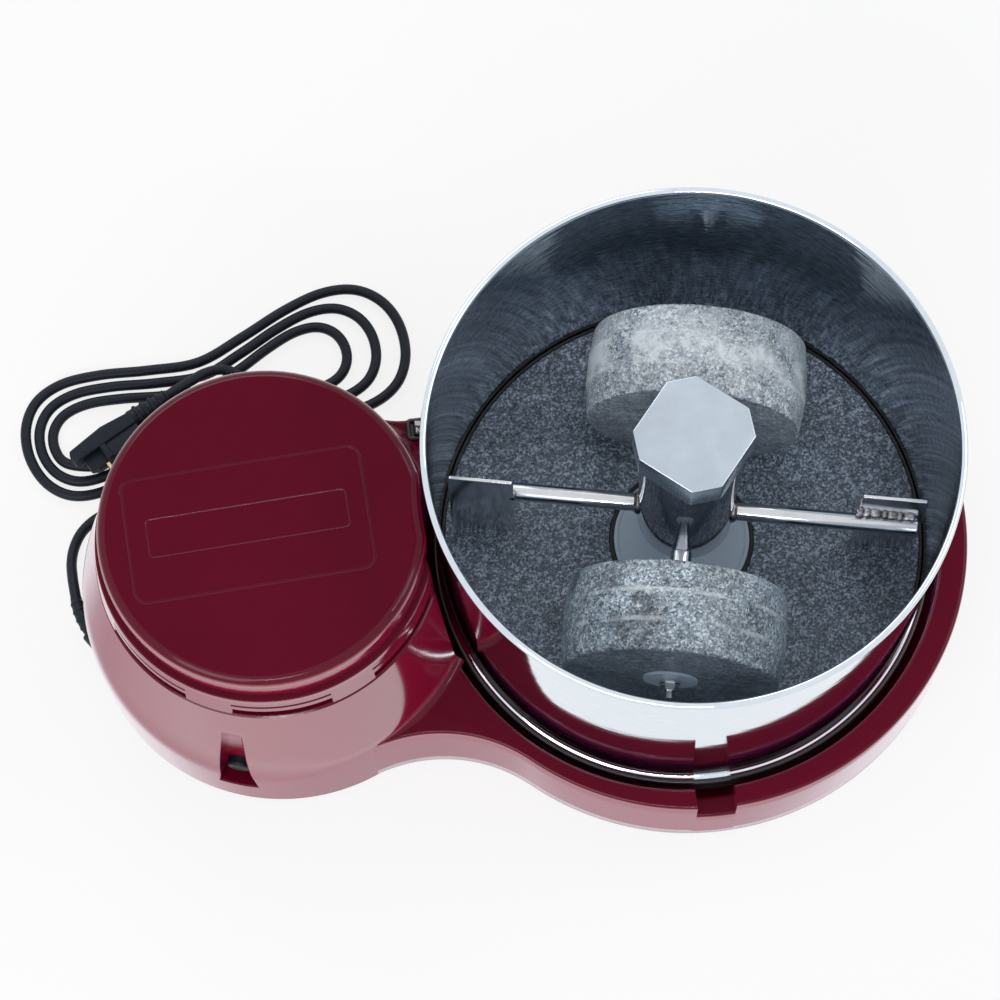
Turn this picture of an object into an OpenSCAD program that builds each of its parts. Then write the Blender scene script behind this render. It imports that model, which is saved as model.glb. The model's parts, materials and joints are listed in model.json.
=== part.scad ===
// Table-top stone grinder for chocolate: a motor housing and a turning drum side by side on one base.
// Lengths in mm. X runs from the motor to the drum, the back of the machine faces -Y, Z is up from the floor.

/* [Drum] */
// inner radius of the drum at its rim
drum_r = 110; // [90:1:132]
// drum height from its steel bottom to the rim
drum_h = 156.8; // [130:0.2:190]
// how much narrower the drum is at its bottom, on the radius
drum_taper = 1.6; // [0:0.1:6]
// thickness of the drum's sheet steel
drum_t = 0.8; // [0.5:0.1:1.5]
// radius of the rolled bead at the rim
bead_r = 1.5; // [1:0.1:2.5]
// thickness of the granite floor
granite_t = 14; // [10:0.5:20]
// width of the dark seal round the granite floor
seal_w = 4.1; // [2:0.1:7]
// radius of the pale bush in the middle of the floor
bush_r = 30.5; // [26:0.5:36]
// width of the dark seal round the bush
bush_seal_w = 2; // [1:0.25:4]

/* [Base and housing] */
// height of the tray's lip and deck above the floor
deck_z = 56; // [52:0.5:66]
// gap between the drum and the wall of the well
well_gap = 6; // [5:0.5:10]
// width of the tray's lip
lip_w = 9.5; // [8:0.5:14]
// how far the tray's outer circle is shifted away from the motor
tray_shift = 3; // [0:0.5:5]
// radius of the housing at the deck
housing_r = 88.5; // [84:0.5:100]
// radius of the hollow curve at the waist, on the side of the reset button
waist_r = 70; // [50:1:90]
// radius of the hollow curve at the waist, on the side of the switch
switch_waist_r = 33; // [30:1:50]
// wall thickness of the moulded base
wall = 3; // [2:0.25:4]
// radius of the housing at its shoulder
shoulder_r = 75; // [73:0.5:80]
// height of the shoulder above the floor
shoulder_z = 108; // [100:1:120]
// radius of the housing's collar at its top
collar_r = 73; // [71:0.5:78]
// height of the collar's top above the floor
collar_z = 127.3; // [120:0.1:140]

/* [Lid] */
// radius of the motor lid
lid_r = 70.5; // [64:0.5:72]
// height of the motor lid
lid_h = 18.5; // [12:0.5:26]
// radius of the lid's rounded edge
lid_edge = 5; // [2:0.5:8]
// gap between the lid and the drum
lid_gap = 1.7; // [1:0.1:6]
// length of the fine panel line on the lid
panel_l = 104; // [80:1:110]
// width of the panel line
panel_w = 56; // [40:1:70]
// length of the bare label recess
label_l = 86; // [60:1:90]
// width of the bare label recess
label_w = 17; // [10:0.5:24]
// turn of the lid about the motor axis
lid_turn = 3; // [-10:0.5:10]

/* [Feet and plate] */
// height of the rubber feet
foot_h = 6; // [5:0.5:10]
// radius of the rubber feet
foot_r = 11; // [8:0.5:14]
// thickness of the steel bottom plate
plate_t = 2.5; // [1.5:0.25:4]

/* [Drive] */
// radius of the fixed spindle
spindle_r = 7.5; // [6:0.25:9]
// radius of the spindle's threaded top
thread_r = 6; // [5:0.25:7]
// outer radius of the drum's ball bearings
bearing_r = 16; // [14:0.5:19]
// height of one ball bearing
bearing_h = 9; // [7:0.5:12]
// radius of the belt's inner face on the drum's pulley
big_belt_r = 84; // [70:0.5:90]
// radius of the belt's inner face on the motor's pulley
small_belt_r = 9; // [8:0.25:14]
// belt thickness
belt_t = 3; // [2:0.25:4]
// belt width
belt_w = 8; // [6:0.5:9]
// radius of the motor shaft
shaft_r = 5; // [4:0.25:6]
// outer radius of the motor's laminated stator
stator_r = 52; // [44:1:58]
// radius of the rotor
rotor_r = 29.5; // [24:0.5:34]

/* [Rollers] */
// roller diameter
roller_d = 97; // [84:1:110]
// roller width
roller_w = 40; // [32:1:44]
// distance from the drum axis to a roller's inner face
roller_in = 37.5; // [34:0.5:42]
// drop of a roller's edge, on the radius
roller_drop = 1.4; // [0.5:0.1:3]
// radius of the roller axles
axle_r = 3; // [2.5:0.25:4.5]
// radius of the white bushes in the rollers
nylon_r = 9; // [7:0.25:12]
// outer radius of the holder tube
tube_r = 21; // [20:0.25:24]
// wall of the holder tube
tube_t = 2.5; // [1.5:0.25:3]
// length of the holder tube
tube_h = 92; // [80:1:110]
// turn of the roller holder about the drum axis
holder_turn = -12; // [-45:1:45]
// radius of the scraper rods
rod_r = 4; // [2.5:0.25:5]
// width of a scraper blade
blade_w = 28.5; // [20:0.5:34]
// height of a scraper blade
blade_h = 73; // [50:1:90]
// thickness of a scraper blade
blade_t = 1.6; // [1:0.1:2.5]

/* [Tension knob] */
// corner radius of the eight-sided knob
knob_r = 25.3; // [22:0.1:30]
// height of the knob's head
knob_h = 18; // [12:0.5:24]
// radius of the knob's skirt
skirt_r = 17.5; // [15:0.25:17.5]

/* [Switch and reset button] */
// length of the switch bezel
bezel_l = 15; // [14:0.5:16]
// width of the switch bezel
bezel_w = 10.5; // [10:0.5:11]
// resting tilt of the rocker
rocker_tilt = 10; // [6:0.5:14]
// radius of the reset button
button_r = 5; // [4:0.25:6]

/* [Cord] */
// cord diameter
cord_d = 5; // [4.5:0.1:5.2]
// turns in the cord's hank
hank_turns = 2.75; // [1.75:0.25:2.75]

/* [Fits] */
// running clearance on the radius
run_fit = 0.05; // [0.02:0.01:0.1]
// clear gap between pieces that move past each other
clear = 0.3; // [0.2:0.05:0.6]

/* [Hidden] */
$fn = 96;
well_r = drum_r + well_gap;
tray_r = well_r + lip_w;
axis_spacing = drum_r + drum_t + lid_gap + lid_r;
bowl_x = (axis_spacing + housing_r - tray_shift - tray_r) / 2;
motor_x = bowl_x - axis_spacing;
tray_x = bowl_x + tray_shift;
span = tray_x - motor_x;
// centre of a hollow curve of radius r that touches the housing's and the tray's circles
function fil_a(r) = (span * span + pow(housing_r + r, 2) - pow(tray_r + r, 2)) / (2 * span);
function fil_at(r) = [motor_x + fil_a(r), sqrt(pow(housing_r + r, 2) - pow(fil_a(r), 2))];
near_fil = [fil_at(waist_r)[0], -fil_at(waist_r)[1]];
far_fil = fil_at(switch_waist_r);

// a small overlap where round shapes would only just touch
hair = 0.02;

// heights of the drive and drum, from the floor up
plate_z = foot_h + plate_t;
flange_h = 4.5;
seat_z = plate_z + flange_h + 1;
hub_z = seat_z + 2 * bearing_h + 0.5;
drive_t = 3;
cup_z = hub_z - 5;
well_z = hub_z - 2;
dbase_z = hub_z + drive_t;
dbase_t = 2.5;
shell_z = dbase_z + dbase_t;
stone_z = shell_z + drum_t;
floor_z = stone_z + granite_t;
rim_z = shell_z + drum_h;
floor_r = drum_r - drum_taper;
granite_r = floor_r - seal_w;
bush_z = floor_z - 6.8;
bush_low_r = 12;
skirt_z = shell_z + 13;

// moulded details of the base
body_z = foot_h - 3;
boss_r = 4;
pilot_r = 1.5;
notch_w = 17.4;
notch_z = 39;
vent_angles = [40, 90, 140, -40, -90, -140];
vent_w = 34;
panel_p = [-5.5, 1];
panel_line = 0.7;
panel_deep = 0.3;
label_p = [-5.5, 1.5];
label_deep = 0.4;

// heights of the roller holder
axle_z = floor_z + roller_d / 2 + clear;
tube_z = axle_z - 9.6;
tube_top = tube_z + tube_h;
sleeve_h = 40;
spring_z = tube_z + sleeve_h;
washer_z = tube_top - 14;
washer_t = 2;
knob_z = tube_top + 3;
knob_top = knob_z + knob_h;
thread_z = washer_z - 2;
spindle_top = knob_top - 10;
bore_in = tube_r - tube_t;
blade_out = floor_r - 4.9;
rod_out = blade_out - 2;
spring_r = 1.5;
spring_turns = 6;
coil_r = 12.8;
spring_h = washer_z - spring_z - 2 * spring_r - 0.3;
end_pitch = 2 * spring_r + 0.15;
coil_pitch = (spring_h - 2 * end_pitch) / (spring_turns - 2);
knob_turn = 5;
knob_flat = 14.5;
rod_z = axle_z + 0.4;
blade_z = floor_z + 2;
roller_out = roller_in + roller_w;
axle_in = 11;

// heights of the motor
belt_z = seat_z + 2;
pulley_h = belt_w + 4;
post_h = 21.5;
damper_h = 4;
mot_z = plate_z + post_h + damper_h;
stack_z = mot_z + 14;
stack_h = 42;
crown_z = stack_z + stack_h;
mot_top = crown_z + 14;
fan_z = mot_top + 2;
lid_bore = lid_r - 4.2;
groove_r = 0.3;
tie_r = 2;
tie_circle = stator_r - 5;
bolt_r = 2.5;
bolt_circle = 23;
pin_circle = 45;
pin_r = 4;
cap_r = 13;

// the belt's straight runs leave both pulleys at this angle
belt_a = 180 - acos((big_belt_r - small_belt_r) / axis_spacing);

// the reset niche and the switch
niche_a = -108;
niche_r = housing_r - 9;
niche_z = 26;
niche_top = 103;
niche_low = 9.2;
niche_high = 4;
button_z = 41;
switch_x = motor_x + 72.55;
switch_y = far_fil[1] - switch_waist_r - bezel_w / 2 - 0.36;
switch_l = bezel_l - 3;
switch_w = bezel_w - 3.5;
switch_d = 18;
pivot_r = 1.2;

// screws and feet, as [x, y]
function on_circle(x, r, angles) = [for (a = angles) [x + r * cos(a), r * sin(a)]];
screws = concat(
  on_circle(bowl_x, well_r + 4.5, [-75, -20, 20, 75]),
  on_circle(motor_x, housing_r - 6.5, [100, 165, -75])
);
feet = [
  [motor_x - 38.5, housing_r - 32.5],
  [motor_x - 38.5, 32.5 - housing_r],
  [bowl_x + 58.5, tray_r - 45.5],
  [bowl_x + 58.5, 45.5 - tray_r]
];
motor_bolts = [[21, 36.4], [-21, 36.4], [-21, -36.4], [21, -36.4]];

// the cord: where it leaves the housing, and the hand-laid points of the free stretches
gland_p = [motor_x - housing_r - 0.3, -3.2, plate_z + 5.3];
gland_a = 125;
gland_r = 5;
gland_in = 14;
relief_l = 20;
relief_bend = 40;
relief_drop = 80;
relief_rings = 6;
function relief_at(s) = gland_p + [
  relief_bend * (sin(gland_a) - sin(gland_a - s / relief_bend * 180 / PI)),
  relief_bend * (cos(gland_a - s / relief_bend * 180 / PI) - cos(gland_a)),
  -s * s / (2 * relief_drop)
];
relief_points = [for (k = [0:relief_rings]) relief_at(relief_l * k / relief_rings)];
lead_start = relief_at(relief_l);
relief_step = lead_start - relief_at(relief_l * 0.99);
relief_dir = relief_step / norm(relief_step);
// the free stretches are given from the point of the housing's wall beside the motor axis
cord_o = [motor_x, housing_r, 0];
plug_p = cord_o + [-44.9, 19.25, 15.5];
plug_a = 30;
cord_z = cord_d / 2 + 0.1;
tail_c = [motor_x - 21.1, housing_r + 16.1];
tail_r = 14.6;
tail_z = 8.4;
tail_points = concat(
  [plug_p, cord_o + [-40.4, 21.85, 15.2], cord_o + [-33.6, 25.75, 13.8]],
  [for (k = [0:6]) [
    tail_c[0] + tail_r * cos(115 - 34.2 * k), tail_c[1] + tail_r * sin(115 - 34.2 * k), tail_z + 0.6 * (6 - k)
  ]],
  [for (p = [
    [-35, -0.4, tail_z], [-45.5, -1.3, tail_z], [-56.5, -2.5, tail_z], [-65.5, -4.2, 8],
    [-74.5, -6.3, 6.2], [-83, -7.9, 4]
  ]) cord_o + p]
);

// one turn of the hank is a flattened loop: its reach and height grow with the turn number
hank_c = [motor_x - 26, housing_r + 22.5];
hank_a = 14.5;
function loop_u(t, c) = c * (c > 0 ? 50 + 14 * t : 73 + 6.2 * t);
function loop_e(t, c, s) = c > 0 ? (s > 0 ? 23 + 4.8 * t : 20 + 7.6 * t) : 31 + 4.5 * t;
function loop_w(t, c, s) = s * (2.4 + 7.1 * (t - 1) + loop_e(t, c, s) * pow(abs(c), 1.5));
function turned(u, w) = [
  hank_c[0] + u * cos(hank_a) - w * sin(hank_a),
  hank_c[1] + u * sin(hank_a) + w * cos(hank_a),
  cord_z
];
function loop_at(t) = turned(
  loop_u(t, cos(90 - 360 * t)),
  loop_w(t, cos(90 - 360 * t), sin(90 - 360 * t))
);
hank_rings = round(hank_turns * 24);
hank_points = concat(tail_points, [for (k = [17:17 + hank_rings]) loop_at(k / 24)]);
hank_n = len(hank_points);
hank_end = hank_points[hank_n - 1];
end_gap = hank_end - hank_points[hank_n - 2];
end_dir = end_gap / norm(end_gap);
lead_points = concat(
  [lead_start, lead_start + cord_d * relief_dir],
  [for (p = [
    [-97, -61.5, 8], [-97.2, -54, 5.2], [-95.7, -46.5, 3.2], [-92.1, -39.7, cord_z], [-86.5, -34.6, cord_z],
    [-79, -30.6, cord_z], [-71, -26.3, cord_z], [-63, -20.7, cord_z], [-54.8, -14.5, cord_z],
    [-45.5, -8.7, cord_z], [-35.5, -3.7, cord_z], [-24.5, 0.3, cord_z], [-13.5, 3.1, cord_z]
  ]) cord_o + p],
  [hank_end + cord_d * 1.4 * end_dir, hank_end]
);

// least clear gap of the hank to itself, on points along its straight pieces
function between(p, q, k) = p + (q - p) * k / 4;
fine = [for (i = [0:hank_n - 2]) for (k = [0:3]) between(hank_points[i], hank_points[i + 1], k)];
fine_n = len(fine);
function nearest(i) = min([for (j = [i + 13:fine_n - 1]) norm(fine[i] - fine[j])]);
hank_gap = min([for (i = [0:fine_n - 14]) nearest(i)]) - cord_d;
function length_of(p, i = 0) = i >= len(p) - 1 ? 0 : norm(p[i + 1] - p[i]) + length_of(p, i + 1);
echo(hank_gap = hank_gap, hank_length = length_of(hank_points), lead_length = length_of(lead_points));
echo(bowl_x = bowl_x, motor_x = motor_x, floor_z = floor_z, axle_z = axle_z, rim_z = rim_z);

// a round tube of n sides through a list of points, each ring square to the path there
function along(p, i) = i == 0 ? p[1] - p[0]
  : i == len(p) - 1 ? p[i] - p[i - 1]
  : (p[i + 1] - p[i]) / norm(p[i + 1] - p[i]) + (p[i] - p[i - 1]) / norm(p[i] - p[i - 1]);
function unit(v) = v / norm(v);
function ring(p, i, r, n) = let (
    t = unit(along(p, i)),
    s = unit(cross(t, [0, 0, 1])),
    u = cross(s, t)
  ) [for (k = [0:n - 1]) p[i] + r * (s * cos(360 * k / n) + u * sin(360 * k / n))];

module swept(p, n, r, r_end) {
  m = len(p);
  polyhedron(
    points = [for (i = [0:m - 1]) each ring(p, i, r + (r_end - r) * i / (m - 1), n)],
    faces = concat(
      [[for (k = [n - 1:-1:0]) k]],
      [for (i = [0:m - 2]) for (k = [0:n - 1]) [i * n + k, (i + 1) * n + (k + 1) % n, (i + 1) * n + k]],
      [for (i = [0:m - 2]) for (k = [0:n - 1]) [i * n + k, i * n + (k + 1) % n, (i + 1) * n + (k + 1) % n]],
      [[for (k = [0:n - 1]) (m - 1) * n + k]]
    )
  );
}

// shared placements
module at_motor(z) {
  translate([motor_x, 0, z]) children();
}
module at_drum(z) {
  translate([bowl_x, 0, z]) children();
}
module at_holder() {
  translate([bowl_x, 0, 0]) rotate([0, 0, holder_turn]) children();
}
// a lathe turned about the holder's y axis, its profile given as [radius, distance from the drum axis]
module far_side() {
  at_holder() translate([0, 0, axle_z]) rotate([-90, 0, 0]) children();
}
module near_side() {
  at_holder() translate([0, 0, axle_z]) rotate([90, 0, 0]) children();
}
module at_points(places, z) {
  for (p = places) translate([p[0], p[1], z]) children();
}
module at_motor_bolts(z) {
  at_motor(z) at_points(motor_bolts, 0) children();
}
module at_tie_bolts(z) {
  for (a = [0:90:270]) rotate([0, 0, a]) translate([tie_circle, 0, z]) children();
}
module at_spindle_bolts(z) {
  for (a = [45:90:315]) at_drum(z) rotate([0, 0, a]) translate([bolt_circle, 0, 0]) children();
}
module at_drive_pins(z) {
  for (a = [30, 150, 270]) at_drum(z) rotate([0, 0, a]) translate([pin_circle, 0, 0]) children();
}
module at_niche(r, z) {
  at_motor(z) rotate([0, 0, niche_a]) translate([r, 0, 0]) children();
}
module at_gland(s) {
  translate(gland_p) rotate([0, 90, gland_a]) translate([0, 0, s]) children();
}
module at_capacitor() {
  at_motor(plate_z) rotate([0, 0, 150]) translate([housing_r - 20.5, 0, 0]) children();
}
module at_plug() {
  translate(plug_p) rotate([0, 0, plug_a]) children();
}
module tubular(ro, ri, h) {
  difference() {
    cylinder(r = ro, h = h);
    translate([0, 0, -1]) cylinder(r = ri, h = h + 2);
  }
}
module rounded(l, w, r) {
  square([l - 2 * r, w], center = true);
  square([l, w - 2 * r], center = true);
  for (sx = [-1, 1]) for (sy = [-1, 1]) translate([sx * (l / 2 - r), sy * (w / 2 - r)]) circle(r = r);
}
// the outline in plan as a slab: two round ends joined by hollow curves that cut in by a hair
module slab(inset, z, h) {
  difference() {
    union() {
      at_motor(z) cylinder(r = housing_r - inset, h = h);
      translate([tray_x, 0, z]) cylinder(r = tray_r - inset, h = h);
      translate([0, 0, z]) linear_extrude(h)
        polygon([[motor_x, 0], far_fil, [tray_x, 0], near_fil]);
    }
    translate([near_fil[0], near_fil[1], z - 1]) cylinder(r = waist_r + inset + hair, h = h + 2);
    translate([far_fil[0], far_fil[1], z - 1]) cylinder(r = switch_waist_r + inset + hair, h = h + 2);
  }
}

// Base and housing
module cone_solid() {
  at_motor(0) rotate_extrude() polygon([
    [0, deck_z - 1], [housing_r, deck_z - 1], [housing_r, deck_z],
    [shoulder_r, shoulder_z], [collar_r, collar_z], [0, collar_z]
  ]);
}
module cone_space() {
  at_motor(0) rotate_extrude() polygon([
    [0, deck_z - wall - 1], [housing_r - wall - 0.3, deck_z - wall - 1], [housing_r - wall - 0.3, deck_z],
    [shoulder_r - wall, shoulder_z], [collar_r - wall, collar_z - 9.5], [lid_bore, collar_z - 6.5],
    [lid_bore, collar_z + 1], [0, collar_z + 1]
  ]);
}
// an upright panel in front of the niche, `grow` wider all round, from radius r0 to r1
module niche_block(grow, r0, r1) {
  at_niche(r0, 0) rotate([90, 0, 90]) linear_extrude(r1 - r0) polygon([
    [-niche_low - grow, niche_z - grow], [niche_low + grow, niche_z - grow],
    [niche_high + grow, niche_top + grow], [-niche_high - grow, niche_top + grow]
  ]);
}
// the space over the switch, `grow` wider all round
module switch_block(grow, z0, z1) {
  l = bezel_l + 2 * grow;
  w = bezel_w + 2 * grow;
  translate([switch_x - l / 2, switch_y - w / 2, z0]) cube([l, w, z1 - z0]);
}
module vent_row(z, h) {
  for (a = vent_angles) at_motor(z) rotate([0, 0, a - vent_w / 2]) rotate_extrude(angle = vent_w)
    translate([lid_bore - 8, 0]) square([30, h]);
}
module reset_bore(r, r0, r1) {
  at_niche(r0, button_z) rotate([0, 90, 0]) cylinder(r = r, h = r1 - r0);
}
// the notch through the tray's lip, `grow` wider and deeper, from y inwards and up to `top`
module notch(grow, y, l, top) {
  translate([bowl_x - notch_w / 2 - grow, y, notch_z - grow])
    cube([notch_w + 2 * grow, l, top - notch_z + grow]);
}
module base_body() {
  color("#5a1226") difference() {
    union() {
      slab(0, body_z, deck_z - body_z);
      cone_solid();
    }
    difference() {
      union() {
        slab(wall, body_z - 1, deck_z - wall - body_z + 1);
        cone_space();
      }
      at_drum(cup_z) cylinder(r = well_r + wall, h = collar_z);
      at_points(screws, plate_z) cylinder(r = boss_r, h = deck_z - plate_z);
      notch(wall, -well_r - 30, 40, deck_z);
      niche_block(wall, niche_r - wall, housing_r + 10);
      switch_block(wall, deck_z - wall, deck_z + 30);
    }
    at_drum(well_z) cylinder(r = well_r, h = collar_z);
    at_drum(cup_z - 1) cylinder(r = bearing_r + 8.5, h = wall + 2);
    notch(0, -well_r - 40, 42, deck_z + 1);
    niche_block(0, niche_r, housing_r + 20);
    reset_bore(button_r + clear, niche_r - wall - 1, niche_r + 1);
    switch_block(0.3, deck_z, deck_z + 60);
    at_switch() translate([-switch_l / 2, -switch_w / 2, -switch_d - 1])
      cube([switch_l, switch_w, switch_d + 2]);
    vent_row(shoulder_z + 1.5, 6);
    vent_row(shoulder_z + 11, 2);
    at_points(screws, plate_z - 1) cylinder(r = pilot_r, h = 17);
    at_gland(-16) cylinder(r = gland_r, h = 40);
  }
}
module base_plate() {
  h = plate_t + 2;
  z = foot_h - 1;
  color("#8a8c90") difference() {
    slab(wall + 0.5, foot_h, plate_t);
    at_points(screws, z) cylinder(r = 1.9, h = h);
    at_points(feet, z) cylinder(r = 4, h = h);
    at_spindle_bolts(z) cylinder(r = bolt_r, h = h);
    at_motor_bolts(z) cylinder(r = bolt_r, h = h);
  }
}
module rubber_feet() {
  color("#151515") at_points(feet, 0) {
    cylinder(r = foot_r, h = foot_h);
    cylinder(r = 4, h = plate_z + 1);
    translate([0, 0, plate_z]) cylinder(r = 6, h = 2);
  }
}
module base_screws() {
  color("#9a9a9a") at_points(screws, foot_h) {
    translate([0, 0, -2]) cylinder(r = 3.2, h = 2);
    translate([0, 0, -1]) cylinder(r = pilot_r, h = plate_t + 13);
  }
}
// a shape sunk into the lid's top, `deep` below it
module in_lid(deep, p) {
  at_motor(collar_z + lid_h - deep) rotate([0, 0, lid_turn]) translate([p[0], p[1], 0])
    linear_extrude(2) children();
}
module motor_lid() {
  color("#5a1226") difference() {
    at_motor(collar_z) rotate_extrude() difference() {
      union() {
        square([lid_r, lid_h - lid_edge]);
        square([lid_r - lid_edge, lid_h]);
        translate([lid_r - lid_edge, lid_h - lid_edge]) circle(r = lid_edge);
        translate([0, -6]) square([lid_bore - 0.15, 7]);
      }
      translate([-1, -7]) square([lid_bore - 1.3, lid_h + 4.5]);
    }
    at_drum(collar_z - 10) cylinder(r = well_r + wall + clear, h = 10);
    in_lid(panel_deep, panel_p) difference() {
      rounded(panel_l, panel_w, 6);
      rounded(panel_l - 2 * panel_line, panel_w - 2 * panel_line, 6 - panel_line);
    }
    in_lid(label_deep, label_p) rounded(label_l, label_w, 2);
  }
}

// Motor
module motor_posts() {
  color("#9a9a9a") at_motor_bolts(0) {
    translate([0, 0, plate_z]) cylinder(r = 5, h = post_h);
    translate([0, 0, foot_h]) cylinder(r = bolt_r, h = plate_t + 1);
    translate([0, 0, foot_h - 2.5]) cylinder(r = 4.2, h = 2.5);
  }
}
module motor_dampers() {
  color("#151515") at_motor_bolts(plate_z + post_h) cylinder(r = 6, h = damper_h);
}
// an end shield with its bearing seat, standing on its outer face
module shield() {
  difference() {
    rotate_extrude() {
      square([stator_r, 3]);
      translate([stator_r - 4, 0]) square([4, 14]);
      square([14.5, 11.2]);
    }
    translate([0, 0, 4]) cylinder(r = 11, h = 10);
    translate([0, 0, -1]) cylinder(r = shaft_r + 1.5, h = 10);
    at_tie_bolts(-1) cylinder(r = tie_r, h = 20);
  }
}
module motor_lower_shield() {
  color("#a9abae") at_motor(mot_z) shield();
}
module motor_upper_shield() {
  color("#a9abae") at_motor(mot_top) mirror([0, 0, 1]) shield();
}
module motor_stator() {
  color("#6f7276") at_motor(stack_z) difference() {
    cylinder(r = stator_r, h = stack_h);
    translate([0, 0, -1]) cylinder(r = rotor_r + 0.5, h = stack_h + 2);
    at_tie_bolts(-1) cylinder(r = tie_r, h = stack_h + 2);
  }
}
module motor_windings() {
  color("#b0642a") for (z = [stack_z - 6.5, crown_z]) at_motor(z) difference() {
    cylinder(r = stator_r - 8, h = 6.5);
    translate([0, 0, -1]) cylinder(r = rotor_r + 3.5, h = 9);
  }
}
module motor_bearings() {
  color("#b9bcc0") for (z = [mot_z + 4, mot_top - 11]) at_motor(z) tubular(11, shaft_r + run_fit, 7);
}
module motor_tie_bolts() {
  color("#9a9a9a") at_motor(mot_z) at_tie_bolts(0) {
    translate([0, 0, -1]) cylinder(r = tie_r, h = mot_top - mot_z + 1);
    translate([0, 0, mot_top - mot_z]) cylinder(r = 3.6, h = 1.6);
    translate([0, 0, -2.6]) cylinder(r = 3.6, h = 2.6);
  }
}
module motor_shaft() {
  color("#b9bcc0") at_motor(plate_z + 1) cylinder(r = shaft_r, h = fan_z + 14 - plate_z);
}
module motor_rotor() {
  color("#6f7276") at_motor(stack_z - 2) tubular(rotor_r, shaft_r, stack_h + 4);
}
module motor_pulley() {
  rg = small_belt_r - groove_r;
  rf = small_belt_r + belt_t + 1.5;
  color("#a9abae") at_motor(belt_z - 2) rotate_extrude() polygon([
    [shaft_r, 0], [rf, 0], [rf, 1.4], [rg, 1.7], [rg, pulley_h - 1.7], [rf, pulley_h - 1.4],
    [rf, pulley_h], [shaft_r, pulley_h]
  ]);
}
module cooling_fan() {
  color("#2b2d30") at_motor(fan_z) {
    tubular(9, shaft_r, 12);
    tubular(46, 8, 1.6);
    for (a = [0:40:320]) rotate([0, 0, a]) translate([8, -0.8, 0]) cube([38, 1.6, 11]);
  }
}
module capacitor() {
  color("#d9d9d4") at_capacitor() {
    cylinder(r = cap_r, h = 52);
    for (y = [-5, 5]) translate([-0.4, y - 2, 52]) cube([0.8, 4, 7]);
  }
}
module capacitor_clip() {
  color("#9a9a9a") at_capacitor() {
    translate([0, 0, 14]) tubular(cap_r + 1, cap_r, 8);
    translate([-cap_r - 5, -4, 0]) cube([4.2, 8, 22]);
  }
}
module terminal_block() {
  color("#e6e2d4") translate([motor_x + 26, -62, plate_z]) difference() {
    cube([30, 14, 14]);
    for (x = [5, 15, 25]) translate([x, 7, 5]) cylinder(r = 2.4, h = 12);
  }
}

// Drive to the drum
module belt_shape(grow) {
  rb = big_belt_r + grow - hair;
  rs = small_belt_r + grow - hair;
  translate([bowl_x, 0]) circle(r = rb + hair);
  translate([motor_x, 0]) circle(r = rs + hair);
  polygon([
    [bowl_x + rb * cos(belt_a), rb * sin(belt_a)], [motor_x + rs * cos(belt_a), rs * sin(belt_a)],
    [motor_x + rs * cos(belt_a), -rs * sin(belt_a)], [bowl_x + rb * cos(belt_a), -rb * sin(belt_a)]
  ]);
}
module drive_belt() {
  color("#151515") translate([0, 0, belt_z]) linear_extrude(belt_w) difference() {
    belt_shape(belt_t);
    belt_shape(0);
  }
}
module driven_pulley() {
  hub = bearing_r + 6.5;
  rg = big_belt_r - groove_r;
  rf = big_belt_r + 3;
  color("#d8d4c8") at_drum(seat_z) rotate_extrude() polygon([
    [bearing_r, 0], [hub, 0], [hub, 3.5], [rg - 7, 3.5], [rg - 7, 0], [rf, 0], [rf, 1.4], [rg, 1.7],
    [rg, pulley_h - 1.7], [rf, pulley_h - 1.4], [rf, pulley_h], [rg - 7, pulley_h], [rg - 7, 8.5], [hub, 8.5],
    [hub, hub_z - seat_z], [bearing_r, hub_z - seat_z]
  ]);
}
module pulley_bearings() {
  color("#b9bcc0") for (z = [0, bearing_h])
    at_drum(seat_z + z + 0.15) tubular(bearing_r, spindle_r + run_fit, bearing_h - 0.3);
}
module drive_plate() {
  color("#a9abae") at_drum(hub_z) tubular(60, spindle_r + 2, drive_t);
}
module drive_pins() {
  color("#b9bcc0") at_drive_pins(dbase_z) cylinder(r = pin_r, h = dbase_t - 0.4);
}
module spindle() {
  color("#b9bcc0") difference() {
    at_drum(plate_z) {
      cylinder(r = 30, h = flange_h);
      cylinder(r = spindle_r + 2, h = flange_h + 1);
      cylinder(r = spindle_r, h = thread_z - plate_z);
      cylinder(r = thread_r, h = spindle_top - plate_z);
    }
    at_spindle_bolts(plate_z - 1) cylinder(r = bolt_r, h = flange_h);
  }
}
module spindle_bolts() {
  color("#9a9a9a") at_spindle_bolts(foot_h - 3) {
    cylinder(r = 4.2, h = 3);
    cylinder(r = bolt_r, h = 3 + plate_t + flange_h - 1);
  }
}

// Drum
module drum_shell() {
  color("#c9ccd0") at_drum(0) rotate_extrude() union() {
    polygon([
      [bush_low_r, shell_z], [floor_r + drum_t, shell_z], [drum_r + drum_t, rim_z - bead_r],
      [drum_r, rim_z - bead_r], [floor_r, stone_z], [bush_low_r, stone_z]
    ]);
    translate([drum_r + bead_r, rim_z - bead_r]) circle(r = bead_r);
  }
}
module drum_base() {
  ri = floor_r + drum_t + 0.3;
  ro = ri + 3;
  color("#151515") difference() {
    at_drum(0) rotate_extrude() polygon([
      [bush_low_r, dbase_z], [ro, dbase_z], [ro, skirt_z], [ri, skirt_z], [ri, shell_z], [bush_low_r, shell_z]
    ]);
    at_drive_pins(dbase_z - 1) cylinder(r = pin_r + 0.2, h = dbase_t + 2);
  }
}
module granite_base() {
  color("#5f6a72") at_drum(0) difference() {
    translate([0, 0, stone_z]) cylinder(r = granite_r, h = granite_t);
    translate([0, 0, stone_z - 1]) cylinder(r = bush_low_r, h = granite_t);
    translate([0, 0, bush_z]) cylinder(r = bush_r + bush_seal_w, h = granite_t);
  }
}
module granite_seal() {
  color("#151515") at_drum(stone_z) tubular(floor_r, granite_r, granite_t + 0.2);
}
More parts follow.
